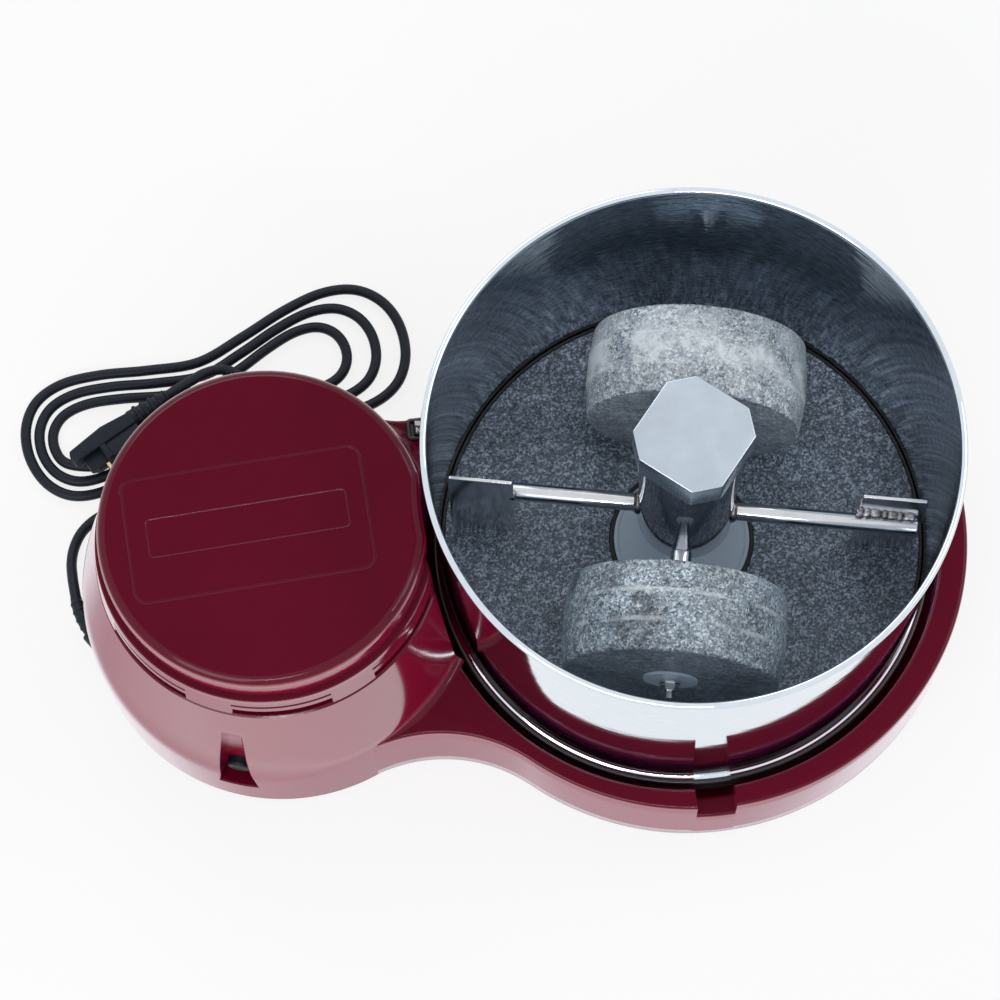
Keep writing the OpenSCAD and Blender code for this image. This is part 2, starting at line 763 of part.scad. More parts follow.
module drum_bush() {
  color("#d7dce0") at_drum(0) difference() {
    union() {
      translate([0, 0, dbase_z]) cylinder(r = bush_low_r, h = bush_z - dbase_z + 1);
      translate([0, 0, bush_z]) cylinder(r = bush_r, h = floor_z + 1.2 - bush_z);
    }
    translate([0, 0, dbase_z - 1]) cylinder(r = spindle_r + run_fit, h = 30);
  }
}
module bush_seal() {
  color("#151515") at_drum(bush_z) tubular(bush_r + bush_seal_w, bush_r, floor_z - bush_z + 0.3);
}

// Roller holder
module holder_tube() {
  color("#c9ccd0") at_holder() difference() {
    translate([0, 0, tube_z]) tubular(tube_r, bore_in, tube_h);
    translate([0, 30, axle_z]) rotate([90, 0, 0]) cylinder(r = axle_r, h = 60);
    translate([-30, 0, rod_z]) rotate([0, 90, 0]) cylinder(r = rod_r, h = 60);
  }
}
module holder_sleeve() {
  color("#e8e8e2") at_holder() difference() {
    translate([0, 0, tube_z]) tubular(bore_in, spindle_r + run_fit, sleeve_h);
    for (a = [90, 270]) rotate([0, 0, a]) translate([axle_in, 0, axle_z]) rotate([0, 90, 0])
      cylinder(r = axle_r, h = 20);
  }
}
function coil_z(turn) = end_pitch * min(turn, 1)
  + coil_pitch * min(max(turn - 1, 0), spring_turns - 2)
  + end_pitch * max(turn - spring_turns + 1, 0);
module tension_spring() {
  path = [for (k = [0:20 * spring_turns]) [coil_r * cos(18 * k), coil_r * sin(18 * k), coil_z(k / 20)]];
  color("#9a9a9a") at_drum(spring_z + spring_r + 0.1) swept(path, 6, spring_r, spring_r);
}
module thrust_washer() {
  color("#c9ccd0") at_drum(washer_z) tubular(bore_in - 0.6, thread_r + 0.4, washer_t);
}
function knob_corner(a) = [knob_r * cos(a), knob_r * sin(a)];
module tension_knob() {
  color("#c9ccd0") at_drum(0) difference() {
    union() {
      translate([0, 0, knob_z]) linear_extrude(knob_h) polygon([
        for (k = [0:3]) for (s = [-1, 1]) knob_corner(knob_turn + 90 * k + s * knob_flat)
      ]);
      translate([0, 0, washer_z + washer_t + clear]) cylinder(r = skirt_r, h = knob_z - washer_z - washer_t);
    }
    translate([0, 0, washer_z]) cylinder(r = thread_r + run_fit, h = spindle_top - washer_z + 1);
  }
}
module axle_solid() {
  translate([0, 0, axle_in]) cylinder(r = axle_r, h = roller_out + 1.5 - axle_in);
  translate([0, 0, axle_in]) cylinder(r = axle_r - 1, h = roller_out + 9 - axle_in);
}
module roller_axles() {
  color("#b9bcc0") {
    far_side() axle_solid();
    near_side() axle_solid();
  }
}
module spacer_solid() {
  translate([0, 0, tube_r + 0.05]) tubular(axle_r + 1.8, axle_r, roller_in - tube_r - 1.25);
}
module axle_spacers() {
  color("#c9ccd0") {
    far_side() spacer_solid();
    near_side() spacer_solid();
  }
}
module roller_solid() {
  r = roller_d / 2;
  w = roller_w / 3;
  translate([0, 0, roller_in]) rotate_extrude() polygon([
    [nylon_r, 0], [r - roller_drop, 0], [r - 0.1, w - 0.5], [r - 0.6, w], [r, w + 0.5], [r, 2 * w - 0.5],
    [r - 0.6, 2 * w], [r - 0.1, 2 * w + 0.5], [r - roller_drop, 3 * w], [nylon_r, 3 * w]
  ]);
}
module roller_far() {
  color("#b9b6b2") far_side() roller_solid();
}
module roller_near() {
  color("#b9b6b2") near_side() roller_solid();
}
module nylon_solid() {
  difference() {
    union() {
      translate([0, 0, roller_in - 0.9]) cylinder(r = nylon_r, h = roller_w + 0.9);
      translate([0, 0, roller_out]) cylinder(r = nylon_r + 2.8, h = 1.2);
    }
    translate([0, 0, roller_in - 5]) cylinder(r = axle_r + run_fit, h = roller_w + 20);
  }
}
module roller_bush_far() {
  color("#e8e8e2") far_side() nylon_solid();
}
module roller_bush_near() {
  color("#e8e8e2") near_side() nylon_solid();
}
module washer_solid() {
  translate([0, 0, roller_out + 1.5]) tubular(axle_r + 1.5, axle_r - 1, 1);
}
module roller_washers() {
  color("#c9ccd0") {
    far_side() washer_solid();
    near_side() washer_solid();
  }
}
module nut_solid() {
  translate([0, 0, roller_out + 2.5]) difference() {
    cylinder(r = (axle_r + 0.5) / cos(30), h = 3.2, $fn = 6);
    translate([0, 0, -1]) cylinder(r = axle_r - 1, h = 6);
  }
}
module roller_nuts() {
  color("#c9ccd0") {
    far_side() nut_solid();
    near_side() nut_solid();
  }
}
module scraper_rods() {
  color("#c9ccd0") at_holder() for (a = [0, 180]) rotate([0, 0, a]) difference() {
    translate([bore_in + 0.6, 0, rod_z]) rotate([0, 90, 0]) cylinder(r = rod_r, h = rod_out - bore_in - 0.6);
    translate([blade_out - blade_w - 0.1, rod_r - 0.65, rod_z - 10]) cube([blade_w + 10, 10, 20]);
  }
}
module scraper_blades() {
  color("#c9ccd0") at_holder() for (a = [0, 180]) rotate([0, 0, a])
    translate([blade_out - blade_w, rod_r - 0.65, blade_z]) cube([blade_w, blade_t, blade_h]);
}

// Switch and reset button
module at_switch() {
  translate([switch_x, switch_y, deck_z]) children();
}
module switch_bezel() {
  l = switch_l;
  w = switch_w;
  color("#1a1a1b") at_switch() difference() {
    union() {
      translate([-bezel_l / 2, -bezel_w / 2, 0]) cube([bezel_l, bezel_w, 2.2]);
      translate([-l / 2, -w / 2, -switch_d]) cube([l, w, switch_d + 1]);
    }
    translate([1 - l / 2, 1 - w / 2, -6]) cube([l - 2, w - 2, 10]);
    translate([0, w / 2 + 1, 0]) rotate([90, 0, 0]) cylinder(r = pivot_r + run_fit, h = w + 2);
    for (x = [-4, 0, 4]) translate([x - 0.4, -2.4, -switch_d - 1]) cube([0.8, 4.8, 2]);
  }
}
module switch_rocker() {
  l = switch_l / 2 - 1.6;
  w = switch_w;
  color("#1a1a1b") at_switch() {
    rotate([90, rocker_tilt, 0]) translate([0, 0, 1.5 - w / 2]) linear_extrude(w - 3)
      polygon([[-l, -2.2], [l, -2.2], [l, 3.6], [0, 2.4], [-l, 3.6]]);
    translate([0, w / 2 - 0.3, 0]) rotate([90, 0, 0]) cylinder(r = pivot_r, h = w - 0.6);
  }
}
module reset_breaker() {
  color("#2b2d30") difference() {
    at_niche(niche_r - wall - 16.5, button_z) translate([0, -8, -11]) cube([16.5, 16, 22]);
    reset_bore(button_r + clear, niche_r - wall - 8, niche_r);
  }
}
module reset_button() {
  color("#1a1a1b") reset_bore(button_r, niche_r - wall - 3, niche_r + 4.5);
}

// Cord
module cord_gland() {
  color("#1a1a1b") {
    at_gland(-gland_in) cylinder(r = gland_r, h = gland_in + 1.5);
    swept(relief_points, 12, cord_d / 2 + 1.3, cord_d / 2 + 0.5);
  }
}
module cord_lead() {
  color("#111214") swept(lead_points, 8, cord_d / 2, cord_d / 2);
}
module cord_hank() {
  color("#111214") swept(hank_points, 6, cord_d / 2, cord_d / 2);
}
module plug_body() {
  color("#1a1a1b") at_plug() {
    translate([0, 0, -4.2]) linear_extrude(10.7) polygon([
      [-54.8, 0.2], [-53.8, -3], [-52.4, -3.8], [-20, -3.8], [-20, 2.4], [-35, 4.2], [-53.4, 2.6]
    ]);
    translate([0, 0, -4.2]) linear_extrude(6.4)
      polygon([[-50, -3.7], [-50, -9.5], [-46, -11.5], [-40, -11.5], [-40, -3.7]]);
    translate([0, 0, -4.2]) linear_extrude(9.4)
      polygon([[-41, -3.7], [-41, -11.5], [-24, -11.5], [-20, -8], [-20, -3.7]]);
    translate([-21, 0, 0]) rotate([0, 90, 0]) cylinder(r1 = 5.2, r2 = cord_d / 2 + 0.6, h = 21);
    for (x = [-16:4:-4]) translate([x, 0, 0]) rotate([0, 90, 0]) cylinder(r = 4.9 - x * 0.02, h = 1.6);
  }
}
module plug_pins() {
  color("#c9b678") at_plug() for (x = [-41.7, -29]) translate([x - 0.75, -26.5, -3.2]) cube([1.5, 15, 6.35]);
}

base_body();
base_plate();
rubber_feet();
base_screws();
motor_lid();
motor_posts();
motor_dampers();
motor_lower_shield();
motor_upper_shield();
motor_stator();
motor_windings();
motor_bearings();
motor_tie_bolts();
motor_shaft();
motor_rotor();
motor_pulley();
cooling_fan();
capacitor();
capacitor_clip();
terminal_block();
drive_belt();
driven_pulley();
pulley_bearings();
drive_plate();
drive_pins();
spindle();
spindle_bolts();
drum_shell();
drum_base();
granite_base();
granite_seal();
drum_bush();
bush_seal();
holder_tube();
holder_sleeve();
tension_spring();
thrust_washer();
tension_knob();
roller_axles();
axle_spacers();
roller_far();
roller_near();
roller_bush_far();
roller_bush_near();
roller_washers();
roller_nuts();
scraper_rods();
scraper_blades();
switch_bezel();
switch_rocker();
reset_breaker();
reset_button();
cord_gland();
cord_lead();
cord_hank();
plug_body();
plug_pins();
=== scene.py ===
import json
from math import asin, atan2, cos, degrees, pi, radians, sin, sqrt, tan

import bmesh
import bpy
from mathutils import Matrix, Vector, noise


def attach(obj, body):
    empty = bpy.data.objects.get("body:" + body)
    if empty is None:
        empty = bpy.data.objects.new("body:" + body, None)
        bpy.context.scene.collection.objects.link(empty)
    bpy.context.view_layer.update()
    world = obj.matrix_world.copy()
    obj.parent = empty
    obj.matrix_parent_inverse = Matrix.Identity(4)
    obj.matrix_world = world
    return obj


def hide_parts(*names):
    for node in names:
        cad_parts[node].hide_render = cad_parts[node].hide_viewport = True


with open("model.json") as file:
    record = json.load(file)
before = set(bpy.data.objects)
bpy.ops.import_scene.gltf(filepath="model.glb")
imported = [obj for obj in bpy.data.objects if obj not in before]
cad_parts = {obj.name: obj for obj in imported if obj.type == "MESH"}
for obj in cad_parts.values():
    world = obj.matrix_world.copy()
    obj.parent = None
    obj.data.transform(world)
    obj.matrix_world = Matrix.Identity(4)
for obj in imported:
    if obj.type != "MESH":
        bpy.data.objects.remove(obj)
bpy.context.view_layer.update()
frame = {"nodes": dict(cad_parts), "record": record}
NODES = frame["nodes"]

# Lengths below are in mm in the CAD frame, angles in degrees
MM = 0.001
UP = Vector((0, 0, 1))

# Axes and main sizes, as in the CAD source
BOWL_X = 71.5
MOTOR_X = -111.5
TRAY_X = 74.5
TRAY_R = 125.5
WELL_R = 116.0
WELL_Z = 30.5
DECK_Z = 56.0
BODY_Z = 3.0
HOUSING_R = 88.5
WAIST_NEAR = (-53.71, -147.59, 70.0)
WAIST_FAR = (-46.35, 102.56, 33.0)
SHOULDER_R = 75.0
SHOULDER_Z = 108.0
COLLAR_R = 73.0
COLLAR_Z = 127.3
LID_R = 70.5
LID_TOP = 145.8
LID_TURN = 3.0
LID_CLEAR = 114.6
FLOOR_Z = 52.8
RIM_Z = 194.8
AXLE_Z = 101.6
HOLDER_TURN = -12.0
NICHE_A = -108.0
NICHE_R = 79.5
ROLLER_R = 48.5
ROLLER_W = 40.0
ROLLER_START = 37.5
CORD_D = 5.0
CORD_Z = 2.6


# Camera at the photograph's viewing angle
CAMERA_AT = Vector((-34.1, -424.65, 1535.7))
CAMERA_YAW = radians(3.32)
CAMERA_DOWN = radians(73.02)
CAMERA_ROLL = radians(-3.14)
CAMERA_LENS = 123.2


def placed(name, data):
    """A new object in the scene."""
    made = bpy.data.objects.new(name, data)
    bpy.context.scene.collection.objects.link(made)
    return made


def make_camera():
    data = bpy.data.cameras.new("camera")
    data.sensor_width = 36
    data.lens = CAMERA_LENS
    data.clip_end = 50
    camera = placed("camera", data)
    tilt = Matrix.Rotation(pi / 2 - CAMERA_DOWN, 4, "X") @ Matrix.Rotation(CAMERA_ROLL, 4, "Z")
    camera.matrix_world = Matrix.Translation(CAMERA_AT * MM) @ Matrix.Rotation(-CAMERA_YAW, 4, "Z") @ tilt
    bpy.context.scene.camera = camera


# Node materials
def new_look(name):
    material = bpy.data.materials.new(name)
    material.use_nodes = True
    return material, material.node_tree, material.node_tree.nodes["Principled BSDF"]


def put(socket, value):
    """Link an input to a socket, or set it to a value."""
    if isinstance(value, bpy.types.NodeSocket):
        socket.id_data.links.new(value, socket)
    elif socket.type == "RGBA":
        socket.default_value = (*value, 1)
    else:
        socket.default_value = value


def add(tree, kind, inputs=None, **attributes):
    """A node with its attributes set, and its inputs set or linked."""
    node = tree.nodes.new("ShaderNode" + kind)
    for key, value in attributes.items():
        setattr(node, key, value)
    for key, value in (inputs or {}).items():
        put(node.inputs[key], value)
    return node


def math_node(operation, *values):
    """A math operation on a socket and other values."""
    inputs = dict(enumerate(values))
    return add(values[0].id_data, "Math", inputs, operation=operation).outputs[0]


def place_in(tree, stretch=(1, 1, 1), shift=(0, 0, 0)):
    """Object coordinates, shifted in mm and stretched."""
    source = add(tree, "TexCoord").outputs["Object"]
    move = [s * MM * k for s, k in zip(shift, stretch)]
    fit = add(tree, "Mapping", {"Vector": source, "Scale": stretch, "Location": move})
    return fit.outputs["Vector"]


def cloud(place, grain, detail=3.0, rough=0.55):
    """Noise of about `grain` mm."""
    inputs = {"Vector": place, "Scale": 1 / (grain * MM), "Detail": detail, "Roughness": rough}
    return add(place.id_data, "TexNoise", inputs).outputs["Fac"]


def ramp(fac, stops):
    """A colour ramp, each stop with its place and a colour or a grey level."""
    node = add(fac.id_data, "ValToRGB", {"Fac": fac})
    band = node.color_ramp
    while len(band.elements) < len(stops):
        band.elements.new(0.5)
    for element, (at, tone) in zip(band.elements, stops):
        element.position = at
        element.color = (*tone, 1) if isinstance(tone, tuple) else (tone, tone, tone, 1)
    return node.outputs["Color"]


def blended(fac, dark, pale, spread=0.2):
    """Two shades, blended about the middle of a noise."""
    return ramp(fac, [(0.5 - spread, dark), (0.5 + spread, pale)])


def ranged(fac, low, high, from_low=0.3, from_high=0.7, **attributes):
    inputs = {"Value": fac, "From Min": from_low, "From Max": from_high, "To Min": low, "To Max": high}
    return add(fac.id_data, "MapRange", inputs, **attributes).outputs["Result"]


def mixed(fac, a, b, blend="MIX"):
    """Socket a mixed with b by a factor; b and the factor are sockets or values."""
    inputs = {0: fac, 6: a, 7: b}
    node = add(a.id_data, "Mix", inputs, data_type="RGBA", blend_type=blend)
    return node.outputs[2]


def bump(shader, height, strength, depth, under=None):
    """A bump of `depth` mm, over the normal of another bump if there is one."""
    inputs = {"Height": height, "Strength": strength, "Distance": depth * MM}
    if under:
        inputs["Normal"] = under
    node = add(height.id_data, "Bump", inputs)
    put(shader.inputs["Normal"], node.outputs["Normal"])
    return node.outputs["Normal"]


def wire(shader, colour, rough, **settings):
    """The shader's colour, roughness and other inputs."""
    for key, value in {"Base_Color": colour, "Roughness": rough, **settings}.items():
        put(shader.inputs[key.replace("_", " ")], value)


def look(name, dark, pale, grain, rough, peel, stretch=(1, 1, 1), spread=0.2, **settings):
    """Two shades and a roughness that vary with noise, and a fine bump `peel`: grain, strength, depth."""
    material, tree, shader = new_look(name)
    place = place_in(tree, stretch)
    patches = cloud(place, grain)
    wire(shader, blended(patches, dark, pale, spread), ranged(patches, *rough), **settings)
    if peel:
        bump(shader, cloud(place, peel[0], 2.0), peel[1], peel[2])
    return material


def plastic_look(name, shades, gloss, coat, sheen):
    """Maroon plastic, with a coat that changes with the angle and a slight violet sheen."""
    material, tree, shader = new_look(name)
    place = place_in(tree)
    weights, coat_ior, coat_rough = coat
    facing = add(tree, "LayerWeight", {"Blend": 0.5}).outputs["Facing"]
    colour = blended(cloud(place, 60, 2.0), *shades)
    wire(
        shader, colour, ranged(cloud(place, 9), 0.1, 0.18), Specular_IOR_Level=gloss,
        Coat_Weight=ramp(facing, weights), Coat_IOR=coat_ior, Coat_Roughness=coat_rough,
        Sheen_Weight=sheen[0], Sheen_Roughness=sheen[1], Sheen_Tint=SHEEN_TINT,
    )
    fine = bump(shader, cloud(place, 1.3, 2.0), 0.05, 0.3)
    bump(shader, cloud(place, 24, 1.0), 0.05, 1.2, fine)
    return material


def mirror_look(name, broad, fine, painted_darkness):
    """Polished sheet with marks round it: strength of its broad and fine waves, and how far the marks are
    darkened, a painted dark reflection.
    """
    material, tree, shader = new_look(name)
    marks = cloud(place_in(tree, (1, 1, 3)), 5, 2.0)
    streaks = cloud(place_in(tree, (1, 1, 14)), 22, 3.0, 0.6)
    ripples = cloud(place_in(tree, (1, 1, 6)), 26)
    dark = tuple(c * (1 - painted_darkness) for c in SHEET_DARK)
    colour = ramp(marks, [(0.36, dark), (0.62, SHEET_PALE)])
    wire(shader, colour, ranged(streaks, 0.02, 0.06), Metallic=1.0)
    waves = bump(shader, ripples, broad, 1.0)
    bump(shader, marks, fine, 0.5, waves)
    return material


def bright_look(name, tint, rough, scratch):
    """Ground steel, darker in patches, with scratches stretched one way."""
    material, tree, shader = new_look(name)
    dark = tuple(0.88 * c for c in tint)
    lines = cloud(place_in(tree, scratch), 2.5, 4.0, 0.65)
    colour = blended(cloud(place_in(tree), 14), dark, tint)
    wire(shader, colour, ranged(lines, *rough), Metallic=1.0)
    bump(shader, lines, 0.06, 0.12)
    return material


def granite_look(name, dark, middle, light, track=None, stain=None, smear_and_light=None):
    """Crystals of three tones, with a worn ring `track`, a `stain` in patches and pale bands, partly smears
    on the stone and partly painted highlight where the bands and groove edges catch light.
    """
    material, tree, shader = new_look(name)
    place = place_in(tree)
    warp = add(tree, "TexNoise", {"Vector": place, "Scale": 1 / (GRAIN * 1.2 * MM), "Detail": 2.0})
    bend = {0: warp.outputs["Color"], 1: (GRAIN * 0.9 * MM,) * 3, 2: place}
    bent = add(tree, "VectorMath", bend, operation="MULTIPLY_ADD").outputs[0]
    cells = add(tree, "TexVoronoi", {"Vector": bent, "Scale": 1 / (GRAIN * MM)})
    tone = add(tree, "SeparateColor", {"Color": cells.outputs["Color"]}).outputs[0]
    stone = ramp(tone, [(0.16, dark), (0.32, middle), (0.6, middle), (0.84, light)])
    flecks = cloud(place, GRAIN * 0.7, 3.0, 0.7)
    stone = mixed(0.4, stone, ramp(flecks, [(0.38, dark), (0.48, middle), (0.62, light)]))
    for size, low, high in ((30, 0.76, 1.2), (4, 0.78, 1.22)):
        patches = ramp(cloud(place, size), [(0.35, low), (0.66, high)])
        stone = mixed(1.0, stone, patches, "MULTIPLY")
    if stain:
        spread = ranged(cloud(place, 22, 4.0, 0.65), 0.0, 0.75, 0.55, 0.66)
        stone = mixed(spread, stone, mixed(1.0, stone, stain, "MULTIPLY"))
    # Pale bands along the roller: partly smears, partly painted light
    if smear_and_light:
        patches = cloud(place_in(tree, shift=(40, 7, 3)), 18, 4.0, 0.65)
        spread = ranged(patches, 0.0, 1.0, 0.4, 0.6)
        turn = radians(HOLDER_TURN)
        line = {0: place_in(tree, shift=(-BOWL_X, 0, 0)), 1: (-sin(turn), cos(turn), 0)}
        along = add(tree, "VectorMath", line, operation="DOT_PRODUCT").outputs["Value"]
        reach = math_node("ABSOLUTE", along)
        share = ranged(reach, 0.0, 1.0, ROLLER_START * MM, (ROLLER_START + ROLLER_W) * MM)
        pale = mixed(1.0, spread, ramp(share, smear_and_light), "MULTIPLY")
        stone = mixed(pale, stone, SMEAR_AND_HIGHLIGHT_TONE)
    if track:
        inner, outer, worn = track
        flat = place_in(tree, (1, 1, 0), (-BOWL_X, 0, 0))
        radius = add(tree, "VectorMath", {0: flat}, operation="LENGTH").outputs["Value"]
        wobble = math_node("MULTIPLY_ADD", cloud(place, 18), 14 * MM, radius)
        band = ranged(wobble, 1.0, 0.0, inner * MM, outer * MM, interpolation_type="SMOOTHSTEP")
        stone = mixed(band, stone, mixed(1.0, stone, worn, "MULTIPLY"))
    wire(shader, stone, ranged(tone, 0.35, 0.6, 0, 1))
    bump(shader, tone, 0.08, 0.15)
    return material


# Looks by the record's slots or by a piece's own finish; a coat is its weights by angle, IOR and roughness
GRAIN = 0.9
# Pale bands on the rollers: on the far one partly smears and partly painted light on its brighter middle
# band, on the near one chipped powdery groove edges and painted highlight
SMEAR_AND_HIGHLIGHT_TONE = (0.9, 0.95, 0.98)
FAR_SMEAR_AND_LIGHT = [
    (0.0, 0.1), (0.3, 0.35), (0.33, 1.0), (0.37, 0.8), (0.5, 1.0), (0.64, 0.9), (0.67, 1.0), (0.71, 0.6),
    (1.0, 0.35),
]
NEAR_GROOVE_SMEAR_AND_HIGHLIGHT = [(0.31, 0.0), (0.34, 0.8), (0.38, 0.0), (0.63, 0.0), (0.66, 0.8), (0.7, 0.0)]
TRACK = (60, 104, (1.25, 1.25, 1.22))
MAROON = (0.104, 0.0014, 0.0135), (0.118, 0.0018, 0.0155)
# Brighter red for the upright walls than for the flat faces of the same plastic: painted light
WALL_RED_PAINTED_LIGHT = (0.25, 0.0014, 0.022), (0.28, 0.0018, 0.026)
FACE_COAT = [(0.3, 0.0), (0.75, 0.7)], 1.5, 0.08
WALL_COAT = [(0.2, 0.0), (0.5, 1.0), (0.6, 1.0), (0.76, 0.22), (0.81, 0.2), (0.88, 0.9)], 2.5, 0.12
SHEEN_TINT = (0.75, 0.28, 1.0)
SHEET_DARK = (0.66, 0.73, 0.81)
SHEET_PALE = (0.7, 0.77, 0.84)
GREY = (0.012, 0.0125, 0.014), (0.02, 0.0205, 0.023)
METAL = {"Metallic": 1.0}
LOOKS = {
    "maroon_plastic": plastic_look("maroon_gloss", MAROON, 0.07, FACE_COAT, (0.2, 0.3)),
    "maroon_edge": plastic_look("maroon_edge", MAROON, 0.22, FACE_COAT, (0.2, 0.3)),
    "maroon_wall": plastic_look("maroon_wall", WALL_RED_PAINTED_LIGHT, 0.07, WALL_COAT, (0.1, 0.5)),
    # A copy of the wall plastic with almost no sheen, for walls out of the open: painted shade
    "maroon_shaded_wall": plastic_look("maroon_shaded_wall", WALL_RED_PAINTED_LIGHT, 0.07, WALL_COAT, (0.02, 0.5)),
    "mirror_steel": mirror_look("mirror_steel", 0.02, 0.0, 0.0),
    # The inside's marks are darkened: a painted reflection of the dark inside
    "mirror_inside_painted_dark": mirror_look("mirror_inside_painted_dark", 0.14, 0.08, 0.42),
    "bright_steel": bright_look("bright_steel", (0.66, 0.68, 0.71), (0.1, 0.2), (1, 1, 12)),
    "knob_steel": bright_look("knob_steel", (0.53, 0.6, 0.69), (0.2, 0.3), (1, 12, 1)),
    # A darker copy of the bright steel for the holder's tube: painted dark reflection
    "tube_steel_painted_dark": bright_look("tube_steel_painted_dark", (0.3, 0.32, 0.38), (0.04, 0.1), (1, 1, 0.1)),
}
# Dark, middle and light tones, track, stain, and pale smear with painted highlight
GRANITE = {
    "floor_granite": ((0.01, 0.013, 0.019), (0.105, 0.131, 0.178), (0.62, 0.72, 0.86), TRACK),
    "roller_granite": (
        (0.015, 0.021, 0.03), (0.34, 0.41, 0.49), (0.95, 0.98, 1.0), None, (0.42, 0.5, 0.6), FAR_SMEAR_AND_LIGHT
    ),
    "stained_granite": (
        (0.012, 0.016, 0.022), (0.255, 0.325, 0.395), (0.84, 0.93, 1.0), None, (0.2, 0.18, 0.2), NEAR_GROOVE_SMEAR_AND_HIGHLIGHT
    ),
    # Darker copy of the roller stone for its flat end faces: painted shade
    "roller_face_painted_shade": ((0.075, 0.087, 0.105), (0.225, 0.265, 0.315), (0.5, 0.57, 0.65)),
}
# Two shades, grain, roughness, bump and other settings
PLAIN = {
    "black_seal": ((0.006, 0.005, 0.006), (0.016, 0.012, 0.012), 4, (0.35, 0.6), (0.8, 0.15, 0.15), {}),
    "nylon": ((0.7, 0.83, 0.95), (0.76, 0.88, 0.98), 12, (0.3, 0.45), (1.5, 0.08, 0.2), {}),
    "dark_plastic": (*GREY, 6, (0.22, 0.36), (0.7, 0.08, 0.15), {}),
    "black_gloss": (*GREY, 10, (0.08, 0.16), (1.5, 0.04, 0.2), {}),
    "cord_rubber": (
        (0.005, 0.009, 0.016), (0.009, 0.014, 0.023), 5, (0.4, 0.5), (0.6, 0.1, 0.1),
        {"Specular_IOR_Level": 0.22},
    ),
    "rubber": (*GREY, 5, (0.6, 0.75), (0.5, 0.2, 0.1), {}),
    "plate_steel": ((0.34, 0.35, 0.36), (0.48, 0.49, 0.5), 7, (0.3, 0.45), (1.0, 0.05, 0.1), METAL),
    "screw_steel": ((0.4, 0.4, 0.4), (0.55, 0.55, 0.56), 3, (0.25, 0.4), (0.5, 0.05, 0.1), METAL),
    "cast_aluminium": ((0.4, 0.41, 0.42), (0.52, 0.53, 0.54), 5, (0.4, 0.6), (0.8, 0.2, 0.2), METAL),
    "lamination": (
        (0.1, 0.1, 0.11), (0.22, 0.22, 0.23), 3, (0.4, 0.55), (0.6, 0.1, 0.2),
        {"stretch": (0.05, 0.05, 6), "spread": 0.1, "Metallic": 1.0},
    ),
    "winding": (
        (0.3, 0.09, 0.025), (0.5, 0.19, 0.06), 1.5, (0.25, 0.4), (0.8, 0.3, 0.4),
        {"stretch": (1, 1, 4), "spread": 0.1, "Metallic": 0.8},
    ),
    "pale_plastic": ((0.62, 0.6, 0.53), (0.7, 0.68, 0.61), 12, (0.4, 0.55), (1.0, 0.05, 0.1), {}),
    "pin_brass": ((0.6, 0.5, 0.28), (0.7, 0.6, 0.36), 4, (0.18, 0.3), (0.8, 0.05, 0.1), METAL),
    "weld": (
        (0.1, 0.085, 0.085), (0.6, 0.59, 0.62), 2.2, (0.25, 0.45), (0.8, 0.3, 0.3),
        {"spread": 0.15, "Metallic": 1.0},
    ),
    "white_mark": ((0.72, 0.73, 0.75), (0.82, 0.83, 0.84), 1.2, (0.4, 0.5), None, {}),
}
for name, row in GRANITE.items():
    LOOKS[name] = granite_look(name, *row)
for name, (*row, settings) in PLAIN.items():
    LOOKS[name] = look(name, *row, **settings)


# Mesh helpers
def parts(count):
    """Evenly spaced numbers from 0 to 1."""
    return [k / count for k in range(count + 1)]


def about(x, y=0.0):
    """Turning about an upright axis: from radius, angle and height to a point."""
    def place(r, angle, z):
        a = radians(angle)
        return Vector((x + r * cos(a), y + r * sin(a), z))
    return place


about_drum = about(BOWL_X)
about_motor = about(MOTOR_X)


def about_line(origin, turn):
    """Turning about a level line from a point: from radius, angle and distance along it to a point."""
    a = radians(turn)
    out = Vector((cos(a), sin(a), 0))
    side = Vector((-out.y, out.x, 0))

    def place(r, angle, h):
        b = radians(angle)
        return Vector(origin) + out * h + (side * cos(b) + UP * sin(b)) * r
    return place


def in_frame(x, y, z, centre, turn):
    """A point given in a frame turned about the vertical at a centre."""
    c, s = cos(radians(turn)), sin(radians(turn))
    return Vector((centre[0] + x * c - y * s, centre[1] + x * s + y * c, centre[2] + z))


def in_holder(x, y, z):
    return in_frame(x, y, z, (BOWL_X, 0, 0), HOLDER_TURN)


def about_axle(side):
    def place(r, angle, h):
        a = radians(angle)
        return in_holder(r * cos(a), side * h, AXLE_Z + r * sin(a))
    return place


def loft(rings, closed=True):
    """Quads between rings of points; closed joins the last ring to the first, else both ends are capped."""
    count = len(rings[0])
    total = len(rings)
    verts = [p for ring in rings for p in ring]
    faces = []
    for i in range(total if closed else total - 1):
        a, b = i * count, (i + 1) % total * count
        for k in range(count):
            n = (k + 1) % count
            faces.append((a + k, a + n, b + n, b + k))
    if not closed:
        faces.append(tuple(range(count))[::-1])
        faces.append(tuple(range((total - 1) * count, total * count)))
    return verts, faces


def joined(*shells):
    verts, faces = [], []
    for more, shell in shells:
        faces += [tuple(i + len(verts) for i in face) for face in shell]
        verts += more
    return verts, faces


def turned(profile, place, count):
    """A closed profile of (radius, height) turned about an axis."""
    return loft([[place(r, 360 * k / count, h) for k in range(count)] for r, h in profile])


